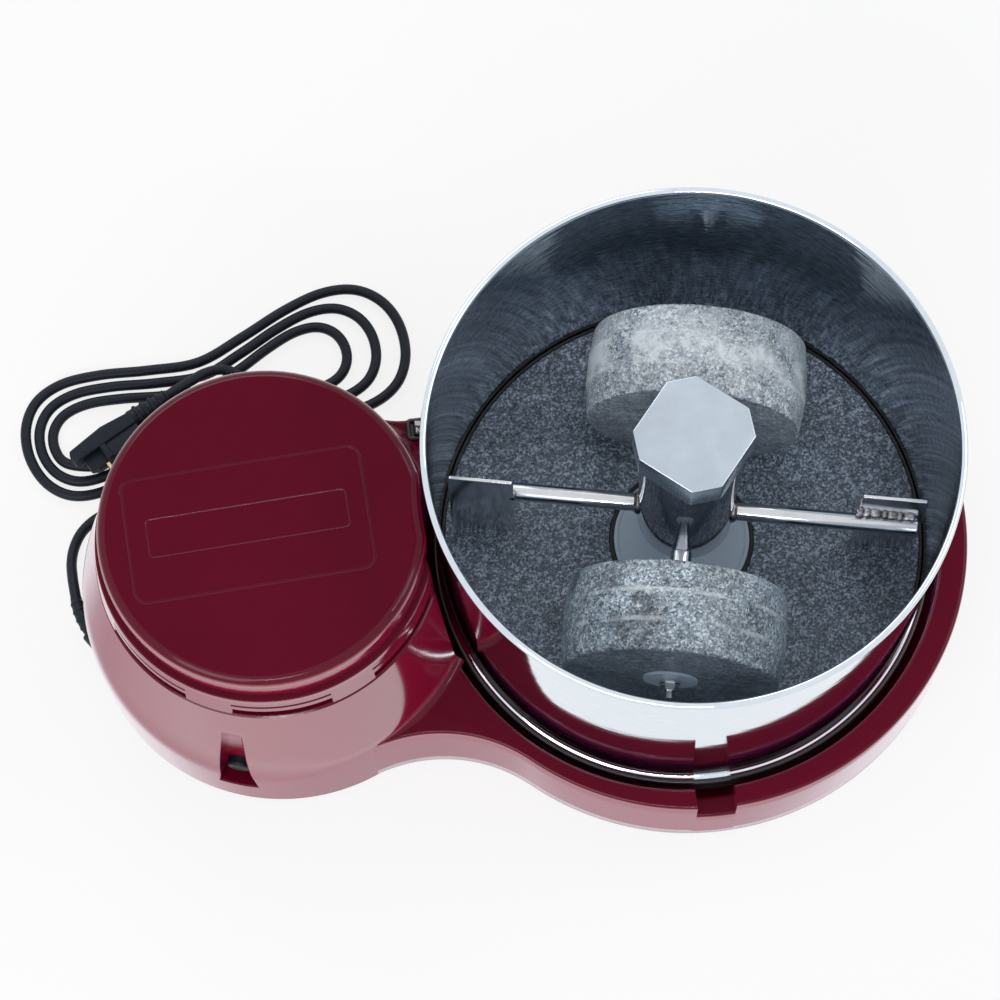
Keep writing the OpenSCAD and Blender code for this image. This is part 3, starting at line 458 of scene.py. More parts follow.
def rounded(points, steps=5):
    """A closed outline of (x, y, corner radius), its corners rounded."""
    out = []
    for i, (x, y, r) in enumerate(points):
        here = Vector((x, y))
        a = (Vector(points[i - 1][:2]) - here).normalized()
        b = (Vector(points[(i + 1) % len(points)][:2]) - here).normalized()
        if r == 0:
            out.append((x, y))
            continue
        half = a.angle(b) / 2
        centre = here + (a + b).normalized() * (r / sin(half))
        start = here + a * (r / tan(half)) - centre
        end = here + b * (r / tan(half)) - centre
        first = atan2(start.y, start.x)
        sweep = (atan2(end.y, end.x) - first + pi) % (2 * pi) - pi
        for s in parts(steps):
            angle = first + sweep * s
            out.append((centre.x + r * cos(angle), centre.y + r * sin(angle)))
    return out


def quarter(count):
    """Sines and cosines through a quarter turn."""
    return [(sin(pi / 2 * s), cos(pi / 2 * s)) for s in parts(count)]


def inset(points, d):
    """A convex anticlockwise polygon with every side moved in by d."""
    out = []
    count = len(points)
    for i in range(count):
        p, q, s = (Vector(points[(i + k) % count]) for k in (-1, 0, 1))
        a, b = (q - p).normalized(), (s - q).normalized()
        na, nb = Vector((-a.y, a.x)), Vector((-b.y, b.x))
        out.append(tuple(q + (na + nb) * (d / (1 + na.dot(nb)))))
    return out


def block(outline, corner, low, high, edge, place):
    """An upright prism on a convex outline, its corners and both its rims rounded; place maps (x, y, z)."""
    rings = [(edge * (1 - s), low + edge * (1 - c)) for s, c in quarter(4)]
    rings += [(edge * (1 - c), high - edge * (1 - s)) for s, c in quarter(4)]
    loops = []
    for d, z in rings:
        shape = rounded([(x, y, corner - d) for x, y in inset(outline, d)], 4)
        loops.append([place(x, y, z) for x, y in shape])
    return loft(loops, False)


def rectangle(x0, y0, x1, y1):
    return [(x0, y0), (x1, y0), (x1, y1), (x0, y1)]


def smooth_path(points, count):
    """A finer path through the points, as a Catmull-Rom curve."""
    points = [Vector(p) for p in points]
    out = []
    for i in range(len(points) - 1):
        b, c = points[i], points[i + 1]
        a = points[i - 1] if i else b * 2 - c
        d = points[i + 2] if i + 2 < len(points) else c * 2 - b
        for t in parts(count)[:-1]:
            out.append(0.5 * (
                2 * b + (c - a) * t + (2 * a - 5 * b + 4 * c - d) * t ** 2 + (3 * b - a - 3 * c + d) * t ** 3
            ))
    return out + [points[-1]]


def tube(path, radii, sides):
    """A closed tube along a path, with a radius for each point."""
    rings = []
    for i, p in enumerate(path):
        ahead = (path[min(i + 1, len(path) - 1)] - path[max(i - 1, 0)]).normalized()
        across = ahead.cross(UP).normalized()
        up = across.cross(ahead)
        turn = [2 * pi * k / sides for k in range(sides)]
        rings.append([p + radii[i] * (across * cos(a) + up * sin(a)) for a in turn])
    return loft(rings, False)


# Mesh clean-up distances in metres, and the angle beyond which an edge is sharp
SAME_POINT = 1e-6
SAME_EDGE = 1e-7
SHARP_ANGLE = radians(35)


def describe(made, body, slot, finish, *nodes):
    """Give an object its look by its finish or slot, attach it to its body, and hide the CAD nodes that it
    replaces.
    """
    made.data.materials.append(LOOKS[finish or slot])
    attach(made, body)
    if nodes:
        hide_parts(*nodes)


def piece(name, shell, body, slot, finish=None, *nodes):
    """A mesh object from a shell in mm."""
    verts, faces = shell
    mesh = bpy.data.meshes.new(name)
    mesh.from_pydata([v * MM for v in verts], [], faces)
    work = bmesh.new()
    work.from_mesh(mesh)
    bmesh.ops.remove_doubles(work, verts=work.verts, dist=SAME_POINT)
    bmesh.ops.dissolve_degenerate(work, edges=work.edges, dist=SAME_EDGE)
    bmesh.ops.recalc_face_normals(work, faces=work.faces)
    for face in work.faces:
        face.smooth = True
    work.to_mesh(mesh)
    work.free()
    mesh.set_sharp_from_angle(angle=SHARP_ANGLE)
    made = placed(name, mesh)
    describe(made, body, slot, finish, *nodes)
    return made


# Cord, from the housing's gland to the plug
GLAND_P = Vector((-200.3, -3.2, 13.8))
GLAND_A = 125.0
RELIEF_L = 20.0
RELIEF_BEND = 40.0
RELIEF_DROP = 80.0
LEAD = [
    (-208.5, 27, 8), (-208.7, 34.5, 5.2), (-207.2, 42, 3.2), (-203.6, 48.8, CORD_Z), (-198, 53.9, CORD_Z),
    (-190.5, 57.9, CORD_Z), (-182.5, 62.2, CORD_Z), (-174.5, 67.8, CORD_Z), (-166.3, 74, CORD_Z),
    (-157, 79.8, CORD_Z), (-147, 84.8, CORD_Z), (-136, 88.8, CORD_Z), (-125, 91.6, CORD_Z),
]
HANK_P = (-137.5, 111, CORD_Z)
HANK_A = 14.5
PLUG_P = (-156.4, 107.75, 15.5)
PLUG_A = 30.0
PLUG_TAIL = 21.0
PLUG_RIBS = (-18.4, -1.1)
TAIL_P = (-132.6, 104.6)
TAIL_R = 14.6
TAIL_Z = 8.4
TAIL_RUN = [
    (-146.5, 88.1, TAIL_Z), (-157, 87.2, TAIL_Z), (-168, 86, TAIL_Z), (-177, 84.3, 8), (-186, 82.2, 6.2),
    (-194.5, 80.6, 4),
]


def relief_at(s):
    a = radians(GLAND_A)
    b = a - s / RELIEF_BEND
    turn = Vector((sin(a) - sin(b), cos(b) - cos(a), 0))
    return GLAND_P + turn * RELIEF_BEND - UP * (s * s / (2 * RELIEF_DROP))


def hank_at(t):
    """A point of the flattened loops at turn t."""
    a = radians(90 - 360 * t)
    c, s = cos(a), sin(a)
    along = c * (50 + 14 * t if c > 0 else 73 + 6.2 * t)
    if c > 0:
        end = 23 + 4.8 * t if s > 0 else 20 + 7.6 * t
    else:
        end = 31 + 4.5 * t
    across = s * (2.4 + 7.1 * (t - 1) + end * abs(c) ** 1.5)
    return in_frame(along, across, 0, HANK_P, HANK_A)


def cord_route():
    tail = [Vector(PLUG_P), Vector((-151.9, 110.35, 15.2)), Vector((-145.1, 114.25, 13.8))]
    for k in range(7):
        a = radians(115 - 34.2 * k)
        x, y = TAIL_P[0] + TAIL_R * cos(a), TAIL_P[1] + TAIL_R * sin(a)
        tail.append(Vector((x, y, TAIL_Z + 0.6 * (6 - k))))
    hank = tail + [Vector(p) for p in TAIL_RUN] + [hank_at(k / 24) for k in range(17, 84)]
    start = relief_at(RELIEF_L)
    away = (start - relief_at(RELIEF_L * 0.99)).normalized()
    ahead = (hank[-1] - hank[-2]).normalized()
    lead = [start, start + away * CORD_D] + [Vector(p) for p in LEAD] + [hank[-1] + ahead * CORD_D * 1.4]
    return lead + hank[::-1]


def make_cord():
    path = smooth_path(cord_route(), 6)
    data = bpy.data.curves.new("mains_cord", "CURVE")
    data.dimensions = "3D"
    data.bevel_depth = CORD_D / 2 * MM
    data.bevel_resolution = 5
    data.use_fill_caps = True
    line = data.splines.new("POLY")
    line.points.add(len(path) - 1)
    for point, p in zip(line.points, path):
        point.co = (*(p * MM), 1)
    line.use_smooth = True
    cord = placed("mains_cord", data)
    describe(cord, "base", "cord_rubber", None, "cord_lead", "cord_hank")
    length = sum((b - a).length for a, b in zip(path, path[1:]))
    return cord, path[0], length


def make_gland():
    """A collar in the wall and a ribbed bend relief that leaves it in a curve."""
    collar = rounded([(0, -14, 0), (5, -14, 0.6), (5, 1.5, 0.7), (0, 1.5, 0)])
    path, radii = [], []
    for s in parts(60):
        ribs = 0.35 * max(0.0, sin(2 * pi * 5 * s)) if s < 0.9 else 0
        path.append(relief_at(RELIEF_L * s))
        radii.append(3.45 - 0.8 * s + ribs)
    shell = joined(turned(collar, about_line(GLAND_P, GLAND_A), 48), tube(path, radii, 24))
    return piece("cord_relief", shell, "base", "cord_rubber", None, "cord_gland")


def make_plug():
    """A flat plug: a rimmed cover, a stepped body behind it and a ribbed tail."""
    def in_plug(x, y, z):
        return in_frame(x, y, z, PLUG_P, PLUG_A)

    cover = [(-54.8, 0.2), (-53.8, -3), (-52.4, -3.8), (-20, -3.8), (-20, 2.4), (-35, 4.2), (-53.4, 2.6)]
    rim = block(cover, 0.9, -4.2, 6.5, 0.7, in_plug)
    low = block([(-50, -9.5), (-46, -11.5), (-40, -11.5), (-40, -3), (-50, -3)], 0.8, -4.2, 2.2, 0.6, in_plug)
    high = block([(-41, -11.5), (-24, -11.5), (-20, -8), (-20, -3), (-41, -3)], 1.0, -4.2, 5.2, 0.8, in_plug)
    rib = block(rectangle(-40.6, -11.2, -37.6, -3), 0.7, 4.0, 6.2, 0.6, in_plug)
    path, radii = [], []
    for s in parts(84):
        x = PLUG_TAIL * (s - 1)
        ribbed = PLUG_RIBS[0] < x < PLUG_RIBS[1]
        ring = max(0.0, cos(2 * pi * (x + 0.8) / 4)) ** 0.5 if ribbed else 0
        path.append(in_plug(x, 0, 0))
        radii.append(4.9 - 1.9 * s + 0.9 * ring)
    shell = joined(rim, low, high, rib, tube(path, radii, 28))
    return piece("mains_plug", shell, "base", "cord_rubber", None, "plug_body")


make_camera()
cord, cord_exit, cord_length = make_cord()
make_gland()
make_plug()


# Base: the tray with its well, and the motor housing
WELL_EDGE = 1.6
LIP_EDGE = 2.0
NOTCH_DROP = 17.0
NOTCH_HALF = 8.7
HOUSING_FREE = 158.0
BEHIND = (152, 208)
TUCK = 14
TUCK_RUN = 12
PROUD = 0.12
WALL = 3.3
VENTS = [(22.5, 57), (73, 107), (123, 157), (-157, -123), (-107, -73), (-57, -22.5)]
VENT_ROWS = [(109.5, 115.5), (119.0, 121.0)]
VENT_DEPTH = 2.6
NICHE_ROWS = (26, 88.5)
NICHE_HALF = 5
NICHE_END = 16
# Heights in the niche whose walls take the painted shade
NICHE_SHADE_ROWS = (26.5, 74)
CUT_HALF = 20
CUT_END = 45
NO_CUT = 1e3


def smooth(t):
    t = min(1.0, max(0.0, t))
    return t * t * (3 - 2 * t)


def heading(x, y):
    return degrees(atan2(y, x))


def toward(a, b):
    """The direction from one circle's centre to another's."""
    return heading(b[0] - a[0], b[1] - a[1])


def on_well(angle):
    """The angle about the drum of a point of the tray's circle."""
    a = radians(angle)
    return heading(TRAY_X + TRAY_R * cos(a) - BOWL_X, TRAY_R * sin(a))


def tray_columns():
    """Columns round the outline: circle, angle, angle on the well, depth under the housing, in the notch."""
    tray, motor = (TRAY_X, 0, TRAY_R, -1), (MOTOR_X, 0, HOUSING_R, -1)
    near_side, far_side = (*WAIST_NEAR, 1), (*WAIST_FAR, 1)
    near, far = toward(tray, near_side), toward(tray, far_side)
    leave, back = toward(motor, far_side), 360 + toward(motor, near_side)
    cut = [-90 + degrees(asin((BOWL_X + s * NOTCH_HALF - TRAY_X) / TRAY_R)) for s in (-1, 1)]
    well_cut = [-90 + degrees(asin(s * NOTCH_HALF / WELL_R)) for s in (-1, 1)]
    far_turn = toward(far_side, tray), toward(far_side, motor)
    near_turn = toward(near_side, motor), toward(near_side, tray)
    runs = [
        (tray, near, cut[0], on_well(near), well_cut[0], 26, 1, False),
        (tray, cut[0], cut[1], well_cut[0], well_cut[1], 10, 1, True),
        (tray, cut[1], far, well_cut[1], on_well(far), 150, 0, False),
        (far_side, *far_turn, on_well(far), BEHIND[0], 40, 0, False),
        (motor, leave, back, *BEHIND, 120, 0, False),
        (near_side, *near_turn, BEHIND[1], 360 + on_well(near), 40, 0, False),
    ]
    columns = []
    for circle, a0, a1, w0, w1, count, last, notch in runs:
        for k in range(count + last):
            s = k / count
            angle = a0 + (a1 - a0) * s
            inside = min(angle - leave, back - angle) / TUCK_RUN
            tuck = TUCK * smooth(inside) if circle == motor else 0
            columns.append((circle, angle, w0 + (w1 - w0) * s, tuck, notch))
    return columns


def tray_rings():
    """Rings of the tray's closed profile: on the outline or the well, offset, height, height in the notch."""
    rings = []
    for offset, z in ((3.0, 9), (3.0, 3.7), (2.4, BODY_Z), (0.8, BODY_Z), (0.23, 3.23)):
        rings.append(("out", offset, z, z))
    low, high = BODY_Z + 0.8, DECK_Z - LIP_EDGE
    for k in range(6):
        z = low + (high - low) * k / 6
        rings.append(("out", 0.0, z, low + (high - NOTCH_DROP - low) * k / 6))
    for s, c in quarter(5):
        z = high + LIP_EDGE * s
        rings.append(("out", LIP_EDGE * (1 - c), z, z - NOTCH_DROP))
    for s, c in quarter(5):
        z = DECK_Z - WELL_EDGE * (1 - c)
        rings.append(("well", WELL_EDGE * (1 - s), z, z - NOTCH_DROP))
    rings += [("well", 0, 46, 36.2), ("well", 0, 38, 34.5), ("well", 0, 32, 32), ("well", -0.5, 30.9, 30.9)]
    for r, z in ((-2, WELL_Z), (-56, WELL_Z), (-91.5, WELL_Z), (-91.5, WELL_Z - 3), (-3, WELL_Z - 3)):
        rings.append(("well", r, z, z))
    rings.append(("out", 3.2, 22, 22))
    return rings


def make_tray():
    columns = tray_columns()
    loops = []
    for kind, offset, z, notch_z in tray_rings():
        loop = []
        for (x, y, r, side), angle, well, tuck, notch in columns:
            height = notch_z if notch else z
            if kind == "out":
                a = radians(angle)
                reach = r + side * offset - tuck
                loop.append(Vector((x + reach * cos(a), y + reach * sin(a), height)))
                continue
            plain = abs(well - 180) < 180 - HOUSING_FREE + 3 and offset > 0
            if plain:
                loop.append(about_drum(WELL_R + offset * 0.001, well, DECK_Z))
            else:
                loop.append(about_drum(WELL_R + offset, well, height))
        loops.append(loop)
    return loft(loops)


def housing_radius(z, angle=180.0):
    """The outer radius: upright, then leaning in, softly where no deck is, to the shoulder and collar."""
    u = (angle + 180) % 360 - 180
    reach = 2 + 12 * smooth((abs(u) - (62 if u > 0 else 72)) / 23)
    lean = (HOUSING_R - SHOULDER_R) / (SHOULDER_Z - DECK_Z)
    start, end = DECK_Z - reach, DECK_Z + reach
    if z <= start:
        r = HOUSING_R
    elif z <= end:
        r = HOUSING_R - lean * (z - start) ** 2 / (2 * (end - start))
    elif z <= SHOULDER_Z:
        r = HOUSING_R - lean * (z - DECK_Z)
    else:
        r = SHOULDER_R - (SHOULDER_R - COLLAR_R) * (z - SHOULDER_Z) / (COLLAR_Z - SHOULDER_Z)
    return r + PROUD


def to_drum(angle, radius):
    """Distance from the motor axis, at an angle, to a circle round the drum."""
    a = radians(angle)
    span = BOWL_X - MOTOR_X
    inside = radius ** 2 - (span * sin(a)) ** 2
    if inside <= 0 or cos(a) < 0:
        return NO_CUT
    return span * cos(a) - sqrt(inside)


def to_well(angle):
    """Where the housing is cut by the well."""
    return to_drum(angle, WELL_R + 0.1)


def cut_angle(z):
    """The angle at which the round housing meets the cut."""
    low, high = 10.0, 36.0
    for _ in range(40):
        middle = (low + high) / 2
        if to_well(middle) < housing_radius(z, middle):
            low = middle
        else:
            high = middle
    return low


def squeezed(u, half, end, edge):
    """An angle moved so that `half` falls on `edge` and `end` stays."""
    if abs(u) <= half:
        return u / half * edge
    side = 1 if u >= 0 else -1
    return side * (edge + (abs(u) - half) / (end - half) * (end - edge))


def column_angle(base, z):
    """Columns follow the cut's edge beside the drum and the niche's slanted sides."""
    u = (base + 180) % 360 - 180
    if abs(u) < CUT_END:
        return squeezed(u, CUT_HALF, CUT_END, cut_angle(z))
    v = u - NICHE_A
    if abs(v) >= NICHE_END:
        return u
    half = degrees(max(4.0, 9.2 - max(0.0, z - NICHE_ROWS[0]) * 5.2 / 77) / housing_radius(z))
    near = squeezed(v, NICHE_HALF, NICHE_END, half)
    fade = min(1.0, max(0.0, (z - 92) / 12))
    return NICHE_A + near + (v - near) * fade


def housing_bases():
    edges = {v for pair in VENTS for v in pair} | {NICHE_A - NICHE_HALF, NICHE_A + NICHE_HALF}
    edges |= {-CUT_END, -CUT_HALF, CUT_HALF, CUT_END}
    plain = [a for a in range(-180, 180, 2) if all(abs(a - e) > 0.7 for e in edges)]
    return sorted(edges | set(plain))


def recess(grid, rows, cols, chamfer, deepen, verts, faces):
    """A pocket in a grid of points over a window of rows and columns, with a chamfered rim."""
    (i0, i1), (j0, j1) = rows, cols
    count = len(grid[0])

    def at(i, j):
        return grid[i][j % count]

    def rim(i, j):
        p = at(i, j)
        move = Vector((0, 0, 0))
        if i in (i0, i1):
            move += (at(i + (1 if i == i0 else -1), j) - p).normalized()
        if j in (j0, j1):
            move += (at(i, j + (1 if j == j0 else -1)) - p).normalized()
        inward = deepen(p) - p
        depth = inward.length
        step = inward * (min(chamfer, depth * 0.5) / depth) if depth > 1e-6 else inward
        return p + move * min(chamfer, depth) + step, deepen(p + move * min(chamfer, depth))
    edge = [(i0, j) for j in range(j0, j1)] + [(i, j1) for i in range(i0, i1)]
    edge += [(i1, j) for j in range(j1, j0, -1)] + [(i, j0) for i in range(i1, i0, -1)]
    top, low = {}, {}
    for key in edge:
        upper, lower = rim(*key)
        top[key] = len(verts)
        verts.append(upper)
        low[key] = len(verts)
        verts.append(lower)
    for i in range(i0 + 1, i1):
        for j in range(j0 + 1, j1):
            low[i, j] = len(verts)
            verts.append(deepen(at(i, j)))
    for a, b in zip(edge, edge[1:] + edge[:1]):
        outer = [a[0] * count + a[1] % count, b[0] * count + b[1] % count]
        faces.append((outer[0], outer[1], top[b], top[a]))
        faces.append((top[a], top[b], low[b], low[a]))
    for i in range(i0, i1):
        for j in range(j0, j1):
            faces.append((low[i, j], low[i, j + 1], low[i + 1, j + 1], low[i + 1, j]))


def to_back(p):
    """A point of the housing moved in to the niche's flat back."""
    ahead = about_motor(1, NICHE_A, 0) - about_motor(0, 0, 0)
    return p - ahead * max(0.0, (p - about_motor(0, 0, 0)).dot(ahead) - NICHE_R)


def into_wall(p):
    """A point of the housing moved in to the bottom of a vent."""
    return p - Vector((p.x - MOTOR_X, p.y, 0)).normalized() * VENT_DEPTH


def make_housing():
    bases = housing_bases()
    heights = [3.7, 10, 18, 26, 30, 35, 40, 45, 50, *range(54, 86, 4), 85, 88.5, 92, 97, 102, 106.5]
    heights += [107.2, 107.7, 108.5, 109.5, 112.5, 115.5, 117.3, 119, 120, 121, 123.5, 126.4]
    groove = {107.7: 0.8, 108.5: 0.7}
    rows = [(BODY_Z, -0.7)] + [(z, -groove.get(z, 0)) for z in heights]
    rows += [(126.95, -0.12), (COLLAR_Z, -0.7)]
    grid = []
    for z, step in rows:
        angles = [column_angle(base, z) for base in bases]
        grid.append([about_motor(min(housing_radius(z, a), to_well(a)) + step, a, z) for a in angles])
    inner = [(66.3, COLLAR_Z), (66.3, 119), (69, 116)]
    inner += [(housing_radius(z) - WALL, z) for z in (104, 90, 74, 62, 50, 26, 12, BODY_Z)]
    for r, z in inner:
        ring = []
        for base in bases:
            angle = column_angle(base, z)
            reach = min(r, to_well(angle) - 0.6)
            if abs(base - NICHE_A) < 7 and 20 < z < 100:
                reach = min(reach, NICHE_R - 3)
            ring.append(about_motor(reach, angle, z))
        grid.append(ring)
    verts, faces = loft(grid)
    count = len(bases)
    index = {z: i for i, (z, _) in enumerate(rows)}
    windows = []
    for a, b in VENTS:
        for low, high in VENT_ROWS:
            windows.append(((index[low], index[high]), (bases.index(a), bases.index(b)), 0.35, into_wall))
    low, high = NICHE_ROWS
    sides = bases.index(NICHE_A - NICHE_HALF), bases.index(NICHE_A + NICHE_HALF)
    windows.append(((index[low], index[high]), sides, 0.7, to_back))
    gone = set()
    for (i0, i1), (j0, j1), *_ in windows:
        gone |= {i * count + j for i in range(i0, i1) for j in range(j0, j1)}
    faces = [face for k, face in enumerate(faces) if k not in gone]
    for window in windows:
        recess(grid, *window, verts, faces)
    return verts, faces


def make_root():
    """The hollow fillet where the housing rises from the deck, on both sides of the drum."""
    lean = (HOUSING_R - SHOULDER_R) / (SHOULDER_Z - DECK_Z)
    first, buried, below = 30.0, 1.5, 0.6
    shells = []
    for side, end in ((-1, 65.0), (1, 54.0)):
        rings = []
        for s in parts(40):
            angle = first + (end - first) * s
            size = 3.4 * min(1.0, (end + 0.5 - angle) / 14) + 0.05
            foot = housing_radius(DECK_Z, side * angle)
            ring = [(foot - buried, DECK_Z - below), (foot + size, DECK_Z - below)]
            for b, c in quarter(6):
                rise = size * (1 - c)
                ring.append((foot + size * (1 - b) - lean * rise, DECK_Z + 0.03 + rise))
            ring.append((foot - buried, DECK_Z + size))
            rings.append([about_motor(r, side * angle, z) for r, z in ring])
        shells.append(loft(rings, False))
    return joined(*shells)


base_shell = joined(make_tray(), make_housing(), make_root())
base = piece("base_shell", base_shell, "base", "maroon_plastic", None, "base_body")


# Lid with a fine panel line and a bare label place
def panel_loop(length, width, corner):
    """A rounded rectangle with the same number of points whatever its size."""
    long, short, bend = 40, 22, 7
    x, y = length / 2 - corner, width / 2 - corner
    corners = [Vector(p) for p in ((x, y), (-x, y), (-x, -y), (x, -y))]
    out = []
    for i, here in enumerate(corners):
        turn = [radians(90 * (i + s)) for s in parts(bend)[:-1]]
        arc = [Vector((cos(a), sin(a))) * corner for a in turn]
        begin, finish = corners[i - 1] + arc[0], here + arc[0]
        out += [begin.lerp(finish, s) for s in parts(long if i % 2 else short)[:-1]]
        out += [here + p for p in arc]
    return out


def make_lid():
    centre = Vector((-5.5, 1.0))
    label = Vector((-5.5, 1.5))
    top = LID_TOP
    last = (104, 56, 6)
    flat = [
        (label, -0.4, 85.2, 16.2, 1.7), (label, -0.05, 86, 17, 2), (label, 0, 86.5, 17.5, 2.2),
        (label, 0, 87.3, 18.3, 2.6), (centre, 0, 100.6, 52.6, 4.5), (centre, 0, 101.6, 53.6, 5),
        (centre, 0.3, 102.2, 54.2, 5.2), (centre, 0.3, 103, 55, 5.6), (centre, -0.2, *last),
    ]
    angles = [atan2(p.y + centre.y, p.x + centre.x) for p in panel_loop(*last)]
    axis = (MOTOR_X, 0, 0)
    rings = []
    for c, lift, *sizes in flat:
        loop = panel_loop(*sizes)
        rings.append([in_frame(p.x + c.x, p.y + c.y, top + lift, axis, LID_TURN) for p in loop])
    edge = 5.0
    turn = [(63, top)] + [(LID_R - edge * (1 - s), top - edge * (1 - c)) for s, c in quarter(8)]
    turn += [(LID_R, 134), (LID_R, 128.1), (LID_R - 0.25, 127.5), (LID_R - 0.8, COLLAR_Z), (66.1, COLLAR_Z)]
    turn += [(66.1, 121.6), (65.2, 121.6), (65.2, 142.4), (60, 143.4)]
    for r, z in turn:
        ring = []
        for a in angles:
            reach = min(r, to_drum(degrees(a) + LID_TURN, LID_CLEAR) - (LID_R - r))
            ring.append(in_frame(reach * cos(a), reach * sin(a), z, axis, LID_TURN))
        rings.append(ring)
    return loft(rings, False)


lid = piece("lid_shell", make_lid(), "base", "maroon_plastic", None, "motor_lid")


# Upright faces are walls, in a brighter red than the flat faces as a painted light; flat ones keep the first
# look, and the rounded edges between are glossier
WALL_SLOPE = 0.6
FLAT_SLOPE = 0.985
# Angles about the motor and reach of the housing walls that take the painted shade
SHADE_ANGLES = (-54.5, 74.5)
SHADE_REACH = 92.0


def takes_painted_shade(p, normal):
    """Walls that face the drum, the niche or the notch instead of the open: these take a copy of the wall
    plastic with almost no sheen, a painted shade.
    """
    flat = Vector((p.x - MOTOR_X, p.y))
    angle = heading(*flat)
    low, high = NICHE_SHADE_ROWS
    inside = 70 < flat.length < housing_radius(p.z) - 0.4
    if abs(angle - NICHE_A) < NICHE_HALF + 2.5 and low < p.z < high and inside:
        return True
    if SHADE_ANGLES[0] < angle < SHADE_ANGLES[1] and flat.length < SHADE_REACH:
        return True
    return abs(p.x - BOWL_X) < NOTCH_HALF + 1 and p.y < -100 and abs(normal.x) > 0.5


for moulding in (base, lid):
    for name in ("maroon_edge", "maroon_wall", "maroon_shaded_wall"):
        moulding.data.materials.append(LOOKS[name])
    for face in moulding.data.polygons:
        upright = abs(face.normal.z)
        if upright < WALL_SLOPE:
            # The lid's walls and the walls out of the open take the painted-shade copy
            inner = moulding == lid or takes_painted_shade(face.center / MM, face.normal)
            face.material_index = 3 if inner else 2
        elif upright < FLAT_SLOPE:
            face.material_index = 1


# Drum: rolled sheet with a bead at the rim, black foot ring, granite floor, seals and bush
def make_drum():
    bead = 1.5
    middle = (111.5, RIM_Z - bead)
    profile = [(12, 38), (108.6, 38), (109.2, 38.6), (109.32, 51.1), (110.25, 51.2), (110.8, 51.75)]
    profile += [(110.85, 52.3), (110.5, 52.85), (109.5, 53.3), (109.36, 54)]
    profile += [(109.36 + 1.4 * s, 54 + 137 * s) for s in parts(12)[1:-1]]
    for s in parts(16):
        a = radians(-118 + 298 * s)
        profile.append((middle[0] + bead * cos(a), middle[1] + bead * sin(a)))
    profile += [(110 - 1.6 * s, 192.5 - 153.5 * s) for s in parts(16)]
    profile += [(108.0, 38.8), (12, 38.8)]
    return turned(profile, about_drum, 256)


BEAD_LOW = 190.0
wall = piece("drum_wall", make_drum(), "drum", "mirror_steel", None, "drum_shell")
# Inside faces below the bead take the darkened marks, a painted reflection
wall.data.materials.append(LOOKS["mirror_inside_painted_dark"])
for face in wall.data.polygons:
    out = face.center - Vector((BOWL_X * MM, 0, 0))
    out.z = 0
    face.material_index = 1 if face.normal.dot(out) < 0 and face.center.z < BEAD_LOW * MM else 0
FOOT_RING = [(12, 35.5, 0), (112.5, 35.5, 1), (112.5, 51, 1), (109.5, 51, 0.4), (109.5, 38, 0), (12, 38, 0)]
STONE = [
    (12, 38.8, 0), (106.8, 38.8, 0), (106.8, FLOOR_Z, 0.6), (32.5, FLOOR_Z, 0.5), (32.5, 46, 0), (12, 46, 0)
]
SEAL = [(106.8, 38.8, 0), (108.4, 38.8, 0), (108.4, 53.1, 0.5), (106.8, 53.1, 0.5)]
BUSH = [
    (7.55, 35.5, 0.3), (12, 35.5, 0.3), (12, 46, 0), (30.5, 46, 0), (30.5, 54, 0.7), (28.9, 54, 0.3),
    (28.3, 53.7, 0.3), (10.5, 53.7, 0.4), (9.8, 54, 0.3), (7.55, 54, 0.3),
]
RING = [(30.5, 46, 0), (32.5, 46, 0), (32.5, 53.2, 0.5), (30.5, 53.2, 0.4)]
TUBE = [(18.5, 92, 0.4), (21, 92, 0.5), (21, 184, 0.7), (18.5, 184, 0.5)]
for name, profile, count, body, slot, finish, node in (
    ("drum_foot", FOOT_RING, 200, "drum", "dark_plastic", "black_gloss", "drum_base"),
    ("floor_stone", STONE, 200, "drum", "floor_granite", None, "granite_base"),
    ("floor_seal", SEAL, 200, "drum", "black_seal", None, "granite_seal"),
    ("centre_bush", BUSH, 160, "drum", "nylon", None, "drum_bush"),
    ("centre_seal", RING, 160, "drum", "black_seal", None, "bush_seal"),
    ("holder_post", TUBE, 160, "roller_holder", "bright_steel", "tube_steel_painted_dark", "holder_tube"),
):
    piece(name, turned(rounded(profile), about_drum, count), body, slot, finish, node)


# Scraper rods, blades and welds on the roller holder
ROD_Z = 102.0


def about_rod(side):
    return about_line((BOWL_X, 0, ROD_Z), HOLDER_TURN if side > 0 else HOLDER_TURN + 180)


ROD = [(0, 19.1, 0), (4, 19.1, 0), (4, 101.5, 0.9), (0, 101.5, 0)]
rods = joined(*[turned(rounded(ROD), about_rod(side), 40) for side in (1, -1)])
piece("holder_rods", rods, "roller_holder", "bright_steel", None, "scraper_rods")


def make_blades():
    shells = []
    for side in (1, -1):
        def place(x, z, y, side=side):
            return in_holder(side * x, side * y, z)
        shells.append(block(rectangle(75, 54.8, 103.5, 127.8), 1.6, 3.35, 4.95, 0.35, place))
    return joined(*shells)


piece("holder_blades", make_blades(), "roller_holder", "bright_steel", None, "scraper_blades")


